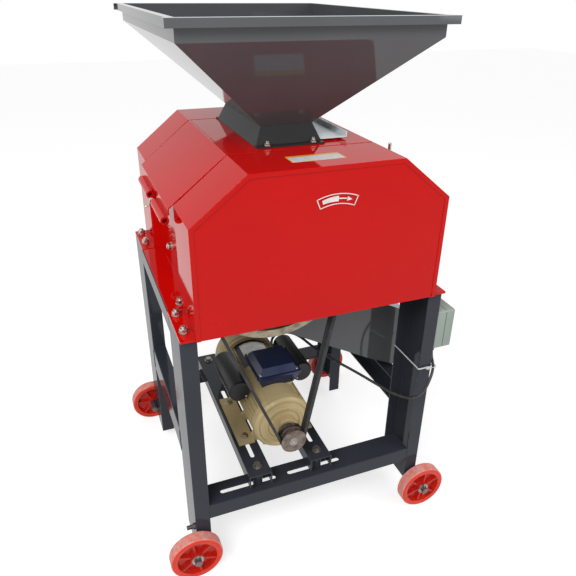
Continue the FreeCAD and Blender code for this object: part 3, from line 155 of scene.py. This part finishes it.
class Shader:
    """A material with one Principled shader and short helpers that add nodes to it."""

    def __init__(self, name, **plain):
        self.material = bpy.data.materials.new(name)
        self.material.use_nodes = True
        self.tree = self.material.node_tree
        self.main = self.tree.nodes["Principled BSDF"]
        self.place = self.add("ShaderNodeTexCoord").outputs["Object"]
        for key, value in plain.items():
            self.main.inputs[key.replace("_", " ")].default_value = value

    def add(self, kind, settings=None, **inputs):
        node = self.tree.nodes.new(kind)
        for key, value in (settings or {}).items():
            setattr(node, key, value)
        for key, value in inputs.items():
            self.feed(node.inputs[key.replace("_", " ")], value)
        return node

    def feed(self, socket, value):
        if isinstance(value, bpy.types.NodeSocket):
            self.tree.links.new(value, socket)
        else:
            socket.default_value = value

    def math(self, operation, a, b=0.0):
        node = self.add("ShaderNodeMath", {"operation": operation})
        self.feed(node.inputs[0], a)
        self.feed(node.inputs[1], b)
        return node.outputs[0]

    def both(self, a, b):
        return self.math("MULTIPLY", a, b)

    def noise(self, scale, detail=3.0, rough=0.55, stretch=None):
        where = self.place
        if stretch:
            node = self.add("ShaderNodeMapping", Vector=where)
            node.inputs["Scale"].default_value = stretch
            where = node.outputs[0]
        node = self.add("ShaderNodeTexNoise", Vector=where, Scale=scale, Detail=detail,
                        Roughness=rough)
        return node.outputs["Fac"]

    def span(self, value, reach, out=(0.0, 1.0)):
        """Maps the reach of a value onto out, with soft ends."""
        node = self.add("ShaderNodeMapRange", {"interpolation_type": "SMOOTHSTEP"}, Value=value)
        node.inputs["From Min"].default_value, node.inputs["From Max"].default_value = reach
        node.inputs["To Min"].default_value, node.inputs["To Max"].default_value = out
        return node.outputs[0]

    def mix(self, share, a, b):
        node = self.add("ShaderNodeMix", {"data_type": "RGBA"})
        factor, first, second = node.inputs[0], node.inputs[6], node.inputs[7]
        for socket, value in ((factor, share), (first, a), (second, b)):
            self.feed(socket, value)
        return node.outputs[2]

    def rounded(self, radius, samples):
        return self.add("ShaderNodeBevel", {"samples": samples}, Radius=radius).outputs[0]

    def edges(self, radius):
        """1 near an edge and 0 on a flat, from a rounded normal against the true one."""
        dot = self.add("ShaderNodeVectorMath", {"operation": "DOT_PRODUCT"})
        self.feed(dot.inputs[0], self.rounded(radius, samples=4))
        self.feed(dot.inputs[1], self.add("ShaderNodeNewGeometry").outputs["Normal"])
        return self.span(self.math("SUBTRACT", 1.0, dot.outputs["Value"]), (0.05, 0.35))

    def radius_about(self, centre, mirrored=False):
        """How far a point lies from a shaft that runs along Y. centre is its (x, z) in mm."""
        split = self.add("ShaderNodeSeparateXYZ", Vector=self.place)
        across = split.outputs[0]
        if mirrored:
            across = self.math("ABSOLUTE", across)
        x = self.math("SUBTRACT", across, centre[0] / MM)
        z = self.math("SUBTRACT", split.outputs[2], centre[1] / MM)
        return self.math("SQRT", self.math("ADD", self.both(x, x), self.both(z, z)))

    def colour(self, value):
        self.feed(self.main.inputs["Base Color"], value)

    def roughness(self, value):
        self.feed(self.main.inputs["Roughness"], value)

    def relief(self, height, strength, distance, rounding):
        """Bump over softened edges, on the base and on the coat."""
        bump = self.add("ShaderNodeBump", Strength=strength, Distance=distance, Height=height)
        self.feed(bump.inputs["Normal"], self.rounded(rounding, samples=6))
        for layer in ("Normal", "Coat Normal"):
            self.feed(self.main.inputs[layer], bump.outputs[0])


def paint(name, base, chipped, rough, coat, wear, peel, dust, tone=0.10, gloss=1.5):
    """Sprayed paint: tone drift, orange peel, slow waves, dust, and edges rubbed through to the
    metal.
    """
    s = Shader(name, Coat_Weight=coat, Coat_Roughness=0.045, Coat_IOR=gloss,
               Specular_IOR_Level=0.0)
    drift = s.span(s.noise(3.5), MIDDLE)
    skin = s.mix(drift, shade(base, 1 - tone), base)
    specks = s.both(s.span(s.noise(55, 6, 0.75), (0.58, 0.78)),
                    s.span(s.noise(7, 4), (0.45, 0.65)))
    skin = s.mix(s.both(specks, dust), skin, linear(190, 182, 170))
    broken = s.both(s.edges(radius=0.0018),
                    s.span(s.noise(38, 5, 0.7), (0.60 - 0.12 * wear, 0.72 - 0.08 * wear)))
    s.colour(s.mix(s.both(broken, wear), skin, chipped))
    patches = s.span(s.noise(9, 5, 0.65), (0.35, 0.75), (rough * 0.8, rough * 1.25))
    s.roughness(s.math("ADD", patches, s.both(specks, 0.18)))
    orange_peel = s.noise(420, 2)
    slow_waves = s.both(s.noise(5, 1), 14.0)
    s.relief(s.math("ADD", orange_peel, slow_waves), peel, distance=0.0004, rounding=0.0015)
    return s.material


def plastic(name, base, rough, grain=0.08):
    """Moulded plastic: faint drift, fine grain, and edges rubbed pale."""
    s = Shader(name, IOR=1.47)
    skin = s.mix(s.span(s.noise(6), MIDDLE), shade(base, 0.88), base)
    rub = s.both(s.edges(radius=0.0015), s.span(s.noise(60, 4), (0.45, 0.7)))
    s.colour(s.mix(s.both(rub, 0.25), skin, shade(base, 1.5, 0.03)))
    s.roughness(s.span(s.noise(14, 5, 0.7), MIDDLE, (rough * 0.85, rough * 1.2)))
    s.relief(s.noise(900, 2), grain, distance=0.0003, rounding=0.001)
    return s.material


def metal(name, base, dull, rough, metallic, scale, bump=0.15):
    """Bare metal with dull spots. scale sets how fine they are."""
    s = Shader(name, Metallic=metallic)
    spots = s.span(s.noise(scale, 6, 0.7), (0.42, 0.68))
    s.colour(s.mix(s.both(spots, 0.5), base, dull))
    s.roughness(s.span(s.noise(scale * 2, 5, 0.7), MIDDLE, (rough * 0.8, rough * 1.25)))
    s.relief(s.noise(scale * 6, 3, 0.6), bump, distance=0.0003, rounding=0.0012)
    return s.material


def rubber(name, base, dusty, rough=0.7):
    """Matt rubber with a dusty bloom."""
    s = Shader(name, IOR=1.5)
    bloom = s.span(s.noise(70, 6, 0.75), (0.45, 0.72))
    s.colour(s.mix(s.both(bloom, 0.45), base, dusty))
    s.roughness(s.span(s.noise(30, 4), MIDDLE, (rough * 0.85, rough * 1.15)))
    s.relief(s.noise(1400, 2), 0.12, distance=0.0003, rounding=0.0006)
    return s.material


def galvanised():
    """Zinc sheet with the crystals of a hot dip and light scratches along the slide."""
    s = Shader("gate_zinc", Metallic=0.15)
    cells = s.add("ShaderNodeTexVoronoi", Vector=s.place, Scale=95.0)
    flake = s.add("ShaderNodeSeparateColor", Color=cells.outputs["Color"]).outputs[0]
    scratch = s.span(s.noise(70, 5, 0.7, stretch=(0.25, 6.0, 1.0)), (0.55, 0.75))
    tone = s.mix(flake, linear(214, 226, 230), linear(230, 238, 241))
    s.colour(s.mix(s.both(scratch, 0.4), tone, linear(140, 146, 148)))
    s.roughness(s.span(flake, (0.0, 1.0), (0.30, 0.42)))
    s.relief(s.math("ADD", flake, scratch), 0.03, distance=0.0002, rounding=0.001)
    return s.material


def wheel_finish():
    """Moulded plastic with a deep red web and a paler band round the tread, which is a painted
    highlight mottled by scuffs.
    """
    s = Shader("wheel_mould", IOR=1.47, Specular_IOR_Level=0.25, Coat_Weight=0.1,
               Coat_Roughness=0.15)
    radius = s.radius_about(WHEEL, mirrored=True)
    tread_reach = (0.0715, 0.0738)
    rim_reach = (0.054, 0.060)
    rim = s.mix(s.span(s.noise(12), MIDDLE), linear(216, 44, 22), linear(236, 58, 30))
    web = s.mix(s.noise(14), linear(176, 24, 14), linear(204, 34, 20))
    body = s.mix(s.span(radius, rim_reach), web, rim)
    dirt = s.both(s.span(s.noise(45, 6, 0.7), (0.52, 0.72)), 0.35)
    body = s.mix(dirt, body, linear(150, 96, 80))
    scuff = s.span(s.noise(85, 6, 0.75), (0.38, 0.66))
    # painted highlight: the tread is coloured pale pink as a sheen, and the scuff noise mottles it
    tread_sheen_and_scuff = s.mix(scuff, linear(228, 118, 102), linear(212, 166, 158))
    tread = s.span(radius, tread_reach)
    s.colour(s.mix(tread, body, tread_sheen_and_scuff))
    s.roughness(s.math("ADD", s.span(radius, tread_reach, (0.26, 0.62)), s.both(dirt, 0.4)))
    s.relief(s.math("ADD", s.noise(260, 4), s.both(tread, scuff)), 0.12, distance=0.0005,
             rounding=0.0012)
    return s.material


def pulley_finish(name, centre, base, groove):
    """Turned cast iron: fine rings about the shaft, brown film where the belt doesn't rub."""
    s = Shader(name, Metallic=0.75)
    rings = s.math("SINE", s.both(s.radius_about(centre), 5200.0))
    film = s.span(s.noise(45, 6, 0.7), (0.35, 0.7))
    s.colour(s.mix(film, base, groove))
    s.roughness(s.span(s.noise(60, 4), MIDDLE, (0.36, 0.58)))
    s.relief(s.math("ADD", s.both(rings, 0.5), s.noise(300, 3)), 0.16, distance=0.0003,
             rounding=0.001)
    return s.material


def print_ink(name, base, rough):
    """The flat colour of a sticker or a seal, slightly uneven."""
    s = Shader(name)
    s.colour(s.mix(s.span(s.noise(60, 5), (0.4, 0.7)), base, shade(base, 0.86)))
    s.roughness(rough)
    return s.material


def make_finishes():
    """One material for each material slot of the record."""
    return {
        "frame_paint": paint("frame_enamel", linear(54, 57, 65), linear(150, 148, 146), rough=0.40,
                             coat=0.55, wear=0.5, peel=0.10, dust=0.16, gloss=1.38),
        "red_paint": paint("red_enamel", linear(202, 12, 8), linear(120, 110, 104), rough=0.35,
                           coat=0.8, wear=0.35, peel=0.05, dust=0.05, tone=0.06, gloss=1.27),
        "hopper_paint": paint("hopper_enamel", linear(86, 87, 90), linear(140, 140, 140),
                              rough=0.30, coat=0.9, wear=0.3, peel=0.03, dust=0.05),
        "collar_paint": paint("collar_enamel", linear(48, 49, 50), linear(110, 110, 110),
                              rough=0.35, coat=0.4, wear=0.3, peel=0.06, dust=0.08, gloss=1.4),
        "motor_paint": paint("motor_enamel", linear(202, 182, 136), linear(110, 98, 78),
                             rough=0.45, coat=0.3, wear=0.5, peel=0.16, dust=0.2, tone=0.14,
                             gloss=1.4),
        "galvanised": galvanised(),
        "zinc": metal("zinc_plate", linear(196, 194, 186), linear(128, 124, 112), rough=0.30,
                      metallic=1.0, scale=120),
        "steel": metal("turned_steel", linear(150, 146, 142), linear(84, 74, 66), rough=0.34,
                       metallic=1.0, scale=70),
        "cast_iron": metal("grey_iron", linear(132, 122, 112), linear(82, 70, 60), rough=0.5,
                           metallic=0.8, scale=55, bump=0.3),
        "wheel_plastic": wheel_finish(),
        "box_plastic": plastic("navy_mould", linear(28, 40, 80), rough=0.22, grain=0.04),
        "black_plastic": plastic("black_mould", linear(18, 18, 19), rough=0.38),
        "switch_plastic": plastic("switch_mould", linear(152, 164, 154), rough=0.48, grain=0.1),
        "start_plastic": plastic("green_mould", linear(30, 120, 60), rough=0.25, grain=0.03),
        "stop_plastic": plastic("stop_mould", linear(196, 28, 24), rough=0.25, grain=0.03),
        "rubber": rubber("belt_rubber", linear(34, 34, 37), linear(74, 72, 70)),
        "cable_jacket": rubber("jacket_rubber", linear(44, 42, 42), linear(96, 88, 82), rough=0.5),
    }


def dress_nodes(finish):
    """Gives each CAD node its slot's material, or its own where the photograph shows one."""
    special = {
        "wheel_axles": metal("dark_axle", linear(122, 112, 112), linear(84, 76, 76), rough=0.42,
                             metallic=0.9, scale=90),
        "axle_keepers": metal("dull_washer", linear(172, 160, 154), linear(132, 112, 104),
                              rough=0.4, metallic=1.0, scale=90),
        "rail_bolts": metal("black_bolt", linear(150, 146, 142), linear(96, 90, 84), rough=0.4,
                            metallic=0.9, scale=120),
        "motor_pulley": pulley_finish("small_pulley_iron", SHAFT, linear(128, 116, 108),
                                      linear(88, 72, 64)),
        "main_pulley": pulley_finish("main_pulley_iron", MAIN_SHAFT, linear(160, 150, 130),
                                     linear(112, 102, 84)),
    }
    for row in frame["record"]["subparts"]:
        node = nodes[row["node"]]
        node.data.materials.clear()
        node.data.materials.append(special.get(row["node"], finish[row["material_slot"]]))


# meshes of small pieces

def put(name, mesh_maker, material, body="stand", bevel=0.0, smooth=True):
    bm = bmesh.new()
    mesh_maker(bm)
    bmesh.ops.recalc_face_normals(bm, faces=bm.faces)
    data = bpy.data.meshes.new(name)
    bm.to_mesh(data)
    bm.free()
    made = bpy.data.objects.new(name, data)
    bpy.context.scene.collection.objects.link(made)
    data.materials.append(material)
    if bevel:
        edge = made.modifiers.new("edge", "BEVEL")
        edge.width = bevel
        edge.segments = 2
        edge.limit_method = "ANGLE"
    if smooth:
        for face in data.polygons:
            face.use_smooth = True
        data.set_sharp_from_angle(angle=math.radians(35))
    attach(made, body)


def join(bm, a, b, closed=True):
    """Faces between two rows of as many vertices, all the way round if closed."""
    for i in range(len(a) if closed else len(a) - 1):
        j = (i + 1) % len(a)
        bm.faces.new((a[i], a[j], b[j], b[i]))


def slab(bm, outline, lift):
    """A thin plate: outline is a loop of points, lift the vector to its other face."""
    low = [bm.verts.new(p) for p in outline]
    high = [bm.verts.new(p + lift) for p in outline]
    bm.faces.new(low[::-1])
    bm.faces.new(high)
    join(bm, low, high)


def strip(bm, outer, inner, lift):
    """A thin band of quads between two rows of points, with its thickness along lift."""
    for shift in (Vector(), lift):
        a = [bm.verts.new(p + shift) for p in outer]
        b = [bm.verts.new(p + shift) for p in inner]
        join(bm, a, b, closed=False)
    bmesh.ops.bridge_loops(bm, edges=[e for e in bm.edges if e.is_boundary])


def lathe(bm, profile, place, axis, sides):
    """Turns (radius, height) pairs about axis through place."""
    spin = Vector((0, 0, 1)).rotation_difference(Vector(axis).normalized()).to_matrix()
    rings = []
    for r, h in profile:
        around = [Vector((r * math.cos(t), r * math.sin(t), h)) for t in turns(sides)]
        points = around if r else [Vector((0, 0, h))]
        rings.append([bm.verts.new(place + spin @ p) for p in points])
    for a, b in zip(rings, rings[1:]):
        if len(a) == len(b):
            join(bm, a, b)
            continue
        for i in range(sides):
            j = (i + 1) % sides
            bm.faces.new((a[0], b[i], b[j]) if len(a) == 1 else (a[i], a[j], b[0]))


def screw(bm, place, axis, r):
    """A pan head with a dimple."""
    profile = [(0, -0.001), (r, -0.001), (r, 0.25 * r), (0.86 * r, 0.55 * r), (0.5 * r, 0.75 * r),
               (0.3 * r, 0.35 * r), (0, 0.3 * r)]
    lathe(bm, profile, place, axis, sides=16)


def guard_arrow(bm):
    """A plain arrow inside an outlined band, bent about a point under it."""
    centre = at(20, -0.35, 966)
    lift = Vector((0, -0.0002, 0))
    half = 22
    outer, inner, line = 138.5, 115.0, 2.2

    def on(angle, r):
        a = math.radians(angle)
        return centre + Vector((r * math.sin(a), 0, r * math.cos(a))) / MM

    band = spread(-half, half, 24)
    for r in (outer, inner):
        strip(bm, [on(a, r) for a in band], [on(a, r - line) for a in band], lift)
    ends = (outer, inner - line)
    for a in (-half, half):
        strip(bm, [on(a - 0.5, r) for r in ends], [on(a + 0.5, r) for r in ends], lift)
    tail = spread(-17.5, 1.0, 10)
    strip(bm, [on(a, 132.5 - 0.1 * abs(a)) for a in tail],
          [on(a, 119.5 + 0.1 * abs(a)) for a in tail], lift)
    stem = spread(1, 11.5, 8)
    strip(bm, [on(a, 127.6) for a in stem], [on(a, 124.6) for a in stem], lift)
    slab(bm, [on(11.0, 131.5), on(17.0, 126.0), on(11.0, 120.5)], lift)


def sticker(bm, x0, x1, y0, y1, z, thick):
    """A rectangle with rounded corners, flat on the cover."""
    r = 3
    corners = ((x1 - r, y1 - r, 0), (x0 + r, y1 - r, 90), (x0 + r, y0 + r, 180),
               (x1 - r, y0 + r, 270))
    outline = []
    for x, y, start in corners:
        for a in (math.radians(start + 22.5 * i) for i in range(5)):
            outline.append(at(x + r * math.cos(a), y + r * math.sin(a), z))
    slab(bm, outline, Vector((0, 0, thick)))


def label_edge(bm):
    sticker(bm, -72, 62, 49, 100, COVER_TOP_Z + 0.1, 0.0002)


def label_face(bm):
    sticker(bm, -69, 59, 52, 88, COVER_TOP_Z + 0.25, 0.0003)


def curved_plate(bm, r, angles, y0, y1, thick):
    """A plate bent round the motor between two angles in degrees."""
    x, z = SHAFT
    steps = [math.radians(a) for a in spread(*angles, 10)]

    def row(radius, y):
        return [bm.verts.new(at(x + radius * math.cos(a), y, z + radius * math.sin(a)))
                for a in steps]

    rows = [row(r, y0), row(r, y1), row(r + thick, y1), row(r + thick, y0)]
    for a, b in zip(rows, rows[1:] + rows[:1]):
        join(bm, a, b, closed=False)
    for end in (0, -1):
        bm.faces.new([line[end] for line in rows])


def nameplate_back(bm):
    curved_plate(bm, MOTOR_R + 0.2, (46, 128), 314, 450, 0.8)


def nameplate(bm):
    curved_plate(bm, MOTOR_R + 1.1, (52, 116), 362, 426, 0.5)


def cable_tie(bm):
    """A nylon band round the leg and the lead, with its lock in front."""
    line = [(320, 152), (320, 18), (355, 17), (361.5, 9.5), (368, 8), (374, 12), (374.5, 19),
            (369, 23.5), (362.8, 25.5), (362.6, 152.6)]
    low, width = 530.5, 4.6
    middle = Vector((344, 85))
    outer = []
    inner = []
    for i in range(len(line)):
        p = Vector(line[i])
        before = Vector(line[i - 1])
        after = Vector(line[(i + 1) % len(line)])
        along = ((p - before).normalized() + (after - p).normalized()).normalized()
        out = Vector((along.y, -along.x))
        if out.dot(p - middle) < 0:
            out = -out
        outer.append(p + out * 1.5)
        inner.append(p + out * 0.3)
    rings = [(outer, low), (outer, low + width), (inner, low + width), (inner, low)]
    made = [[bm.verts.new(at(q.x, q.y, z)) for q in ring] for ring, z in rings]
    for a, b in zip(made, made[1:] + made[:1]):
        join(bm, a, b)
    lock = ((343, 10), (353, 9.5), (353, 16.4), (343, 16.9))
    slab(bm, [at(x, y, low - 1) for x, y in lock], Vector((0, 0, 0.0068)))


def cover_screws(bm):
    """Four screws on the terminal box's cover and one on each capacitor's saddle."""
    up, forward = (0, 0, 1), (0, -1, 0)
    for x in (-109, 5):
        for y in (183, 300):
            screw(bm, at(x, y, 504.8), up, 0.0042)
    for place in (at(-153, 190.2, 438), at(21, 218.2, 440)):
        screw(bm, place, forward, 0.0035)


def switch_seam(bm):
    """The dark joint between the switch box and its cover, a little proud of both."""
    outline = ((21.9, 595), (21.9, 707), (26.9, 712.1), (97.1, 712.1), (102.1, 707),
               (102.1, 595), (97.1, 589.9), (26.9, 589.9))
    slab(bm, [at(391.2, y, z) for y, z in outline], Vector((0.0016, 0, 0)))


def shaft_key(bm):
    outline = ((-70, 391), (-64, 391), (-64, 396), (-70, 396))
    slab(bm, [at(x, 19.4, z) for x, z in outline], Vector((0, 0.03, 0)))


def bead(bm, start, end, r):
    """A weld bead: a low ripple of overlapping rounds from start to end."""
    along = end - start
    steps = max(4, int(along.length / 0.0022))
    side = along.normalized().orthogonal().normalized()
    up = along.normalized().cross(side)
    rings = []
    for i in range(steps + 1):
        t = i / steps
        ripple = 0.82 + 0.18 * math.sin(i * 2.1)
        taper = min(1.0, 0.45 + 6 * min(t, 1 - t))
        wide = r * ripple * taper
        centre = start + along * t
        rings.append([bm.verts.new(centre + (side * math.cos(a) + up * math.sin(a)) * wide)
                      for a in turns(8)])
    for a, b in zip(rings, rings[1:]):
        join(bm, a, b)
    bm.faces.new(rings[0][::-1])
    bm.faces.new(rings[-1])


def weld_beads(bm):
    """Beads where the beams meet the legs, and above and below each axle."""
    for side in (-1, 1):
        joint = side * BEAM_JOINT_X
        bead(bm, at(joint, 18.4, 179), at(joint, 18.4, 222), 0.0022)
        for y in (152, 582):
            face = side * (LEG_X - 0.4)
            bead(bm, at(face, y, 328), at(face, y, 407), 0.0024)
            bead(bm, at(side * 359, y, 409.6), at(side * 323, y, 409.6), 0.0024)
        axle = side * AXLE_X
        for y0, y1 in ((21, 60), (674, 713)):
            for z in (83.2, 66.8):
                bead(bm, at(axle, y0, z), at(axle, y1, z), 0.0032)


def wall_fitting(bm):
    """A screw plug with its washer on the left wall."""
    profile = [(0, -0.0005), (0.0125, -0.0005), (0.0125, 0.002), (0.0095, 0.0021),
               (0.0095, 0.011), (0.0085, 0.0122), (0.006, 0.0122), (0.006, 0.0145),
               (0.0052, 0.0152), (0, 0.0152)]
    lathe(bm, profile, at(-300, 378, 867), (-1, 0, 0), sides=24)


def leg_stud(bm):
    """A stud with its nut on the front left leg, above the wheel."""
    profile = [(0, 0), (0.0092, 0), (0.0092, 0.006), (0.0082, 0.007), (0.0062, 0.007),
               (0.0062, 0.0232), (0.0052, 0.0245), (0, 0.0245)]
    lathe(bm, profile, at(-LEG_X, 30, 151), (-1, 0, 0), sides=24)


def stud_sleeve(bm):
    """A zinc sleeve on the stud of the fixed cover."""
    profile = [(0, 0), (0.0044, 0), (0.0044, 0.0172), (0.0038, 0.018), (0, 0.018)]
    lathe(bm, profile, at(250, 176, 1140.3), (0, 0, 1), sides=20)


def make_small_pieces(finish):
    white = print_ink("mark_white", linear(236, 226, 222), 0.5)
    grey = print_ink("label_face", linear(214, 214, 222), 0.4)
    amber = print_ink("label_edge", linear(232, 168, 40), 0.4)
    gasket = print_ink("seam_dark", linear(40, 44, 42), 0.7)
    nylon = plastic("tie_nylon", linear(222, 222, 220), rough=0.35)
    plate = metal("nameplate_face", linear(176, 176, 172), linear(150, 150, 148), rough=0.34,
                  metallic=0.6, scale=60)
    dark_steel = metal("stud_steel", linear(96, 92, 92), linear(58, 54, 54), rough=0.42,
                       metallic=0.9, scale=120)
    put("guard_arrow", guard_arrow, white, smooth=False)
    put("label_edge", label_edge, amber, smooth=False)
    put("label_face", label_face, grey, smooth=False)
    put("nameplate_back", nameplate_back, finish["black_plastic"])
    put("nameplate", nameplate, plate)
    put("cable_tie", cable_tie, nylon, bevel=0.0003)
    put("cover_screws", cover_screws, finish["zinc"])
    put("switch_seam", switch_seam, gasket, smooth=False)
    put("shaft_key", shaft_key, finish["steel"], body="rotor", bevel=0.0004)
    put("weld_beads", weld_beads, finish["frame_paint"])
    put("wall_fitting", wall_fitting, finish["zinc"])
    put("leg_stud", leg_stud, dark_steel)
    put("stud_sleeve", stud_sleeve, finish["zinc"])
    hook = nurbs("hinge_hook", [(-342, 338, 1015), (-342, 352, 1015), (-343, 372, 1014),
                                (-344, 398, 1003), (-344, 414, 986), (-347, 422, 976),
                                (-356, 424, 973)], 0.0028)
    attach(hook, "stand")
    hook.data.materials.append(finish["zinc"])


# room

def seen_rays(tree):
    """1 for camera, mirror and see-through rays, and 0 for the light that reaches surfaces."""
    path = tree.nodes.new("ShaderNodeLightPath")
    level = path.outputs["Is Camera Ray"]
    for ray in ("Is Glossy Ray", "Is Transmission Ray"):
        either = tree.nodes.new("ShaderNodeMath")
        either.operation = "MAXIMUM"
        tree.links.new(level, either.inputs[0])
        tree.links.new(path.outputs[ray], either.inputs[1])
        level = either.outputs[0]
    return level


def make_floor():
    """A wide pale floor that keeps the shadow and looks white to the rays that see it."""
    data = bpy.data.meshes.new("floor")
    bm = bmesh.new()
    bmesh.ops.create_grid(bm, x_segments=1, y_segments=1, size=12)
    bm.to_mesh(data)
    bm.free()
    floor = bpy.data.objects.new("floor", data)
    bpy.context.scene.collection.objects.link(floor)
    material = bpy.data.materials.new("pale_floor")
    material.use_nodes = True
    tree = material.node_tree
    shader = tree.nodes["Principled BSDF"]
    shader.inputs["Base Color"].default_value = (FLOOR_TONE, FLOOR_TONE, FLOOR_TONE, 1)
    shader.inputs["Roughness"].default_value = 0.9
    shader.inputs["Specular IOR Level"].default_value = 0.1
    shader.inputs["Emission Color"].default_value = (1, 1, 1, 1)
    glow = tree.nodes.new("ShaderNodeMath")
    glow.operation = "MULTIPLY"
    glow.inputs[1].default_value = FLOOR_GLOW
    tree.links.new(seen_rays(tree), glow.inputs[0])
    tree.links.new(glow.outputs[0], shader.inputs["Emission Strength"])
    data.materials.append(material)


def make_world():
    """White to the rays that see it, and a plain level of light for the surfaces."""
    world = bpy.data.worlds.new("room")
    bpy.context.scene.world = world
    world.use_nodes = True
    tree = world.node_tree
    back = tree.nodes["Background"]
    back.inputs["Color"].default_value = (1, 1, 1, 1)
    level = tree.nodes.new("ShaderNodeMapRange")
    level.inputs["To Min"].default_value = ROOM_LIGHT
    level.inputs["To Max"].default_value = 1.0
    tree.links.new(seen_rays(tree), level.inputs["Value"])
    tree.links.new(level.outputs[0], back.inputs["Strength"])


def lamp(name, place, aim, size, power):
    data = bpy.data.lights.new(name, "AREA")
    data.shape = "RECTANGLE"
    data.size, data.size_y = size
    data.energy = power
    made = bpy.data.objects.new(name, data)
    bpy.context.scene.collection.objects.link(made)
    made.location = place
    made.rotation_mode = "QUATERNION"
    made.rotation_quaternion = (Vector(aim) - Vector(place)).to_track_quat("-Z", "Y")


make_camera()
finish = make_finishes()
make_lead(finish["cable_jacket"])
dress_nodes(finish)
make_small_pieces(finish)
make_floor()
make_world()
lamp("key", place=(-2.2, -2.4, 3.4), aim=(0, 0, 0.7), size=(2.2, 1.6), power=100)
lamp("fill", place=(2.6, -2.2, 2.2), aim=(0, 0, 0.6), size=(2.0, 2.0), power=30)
bpy.context.scene.view_settings.view_transform = "Standard"
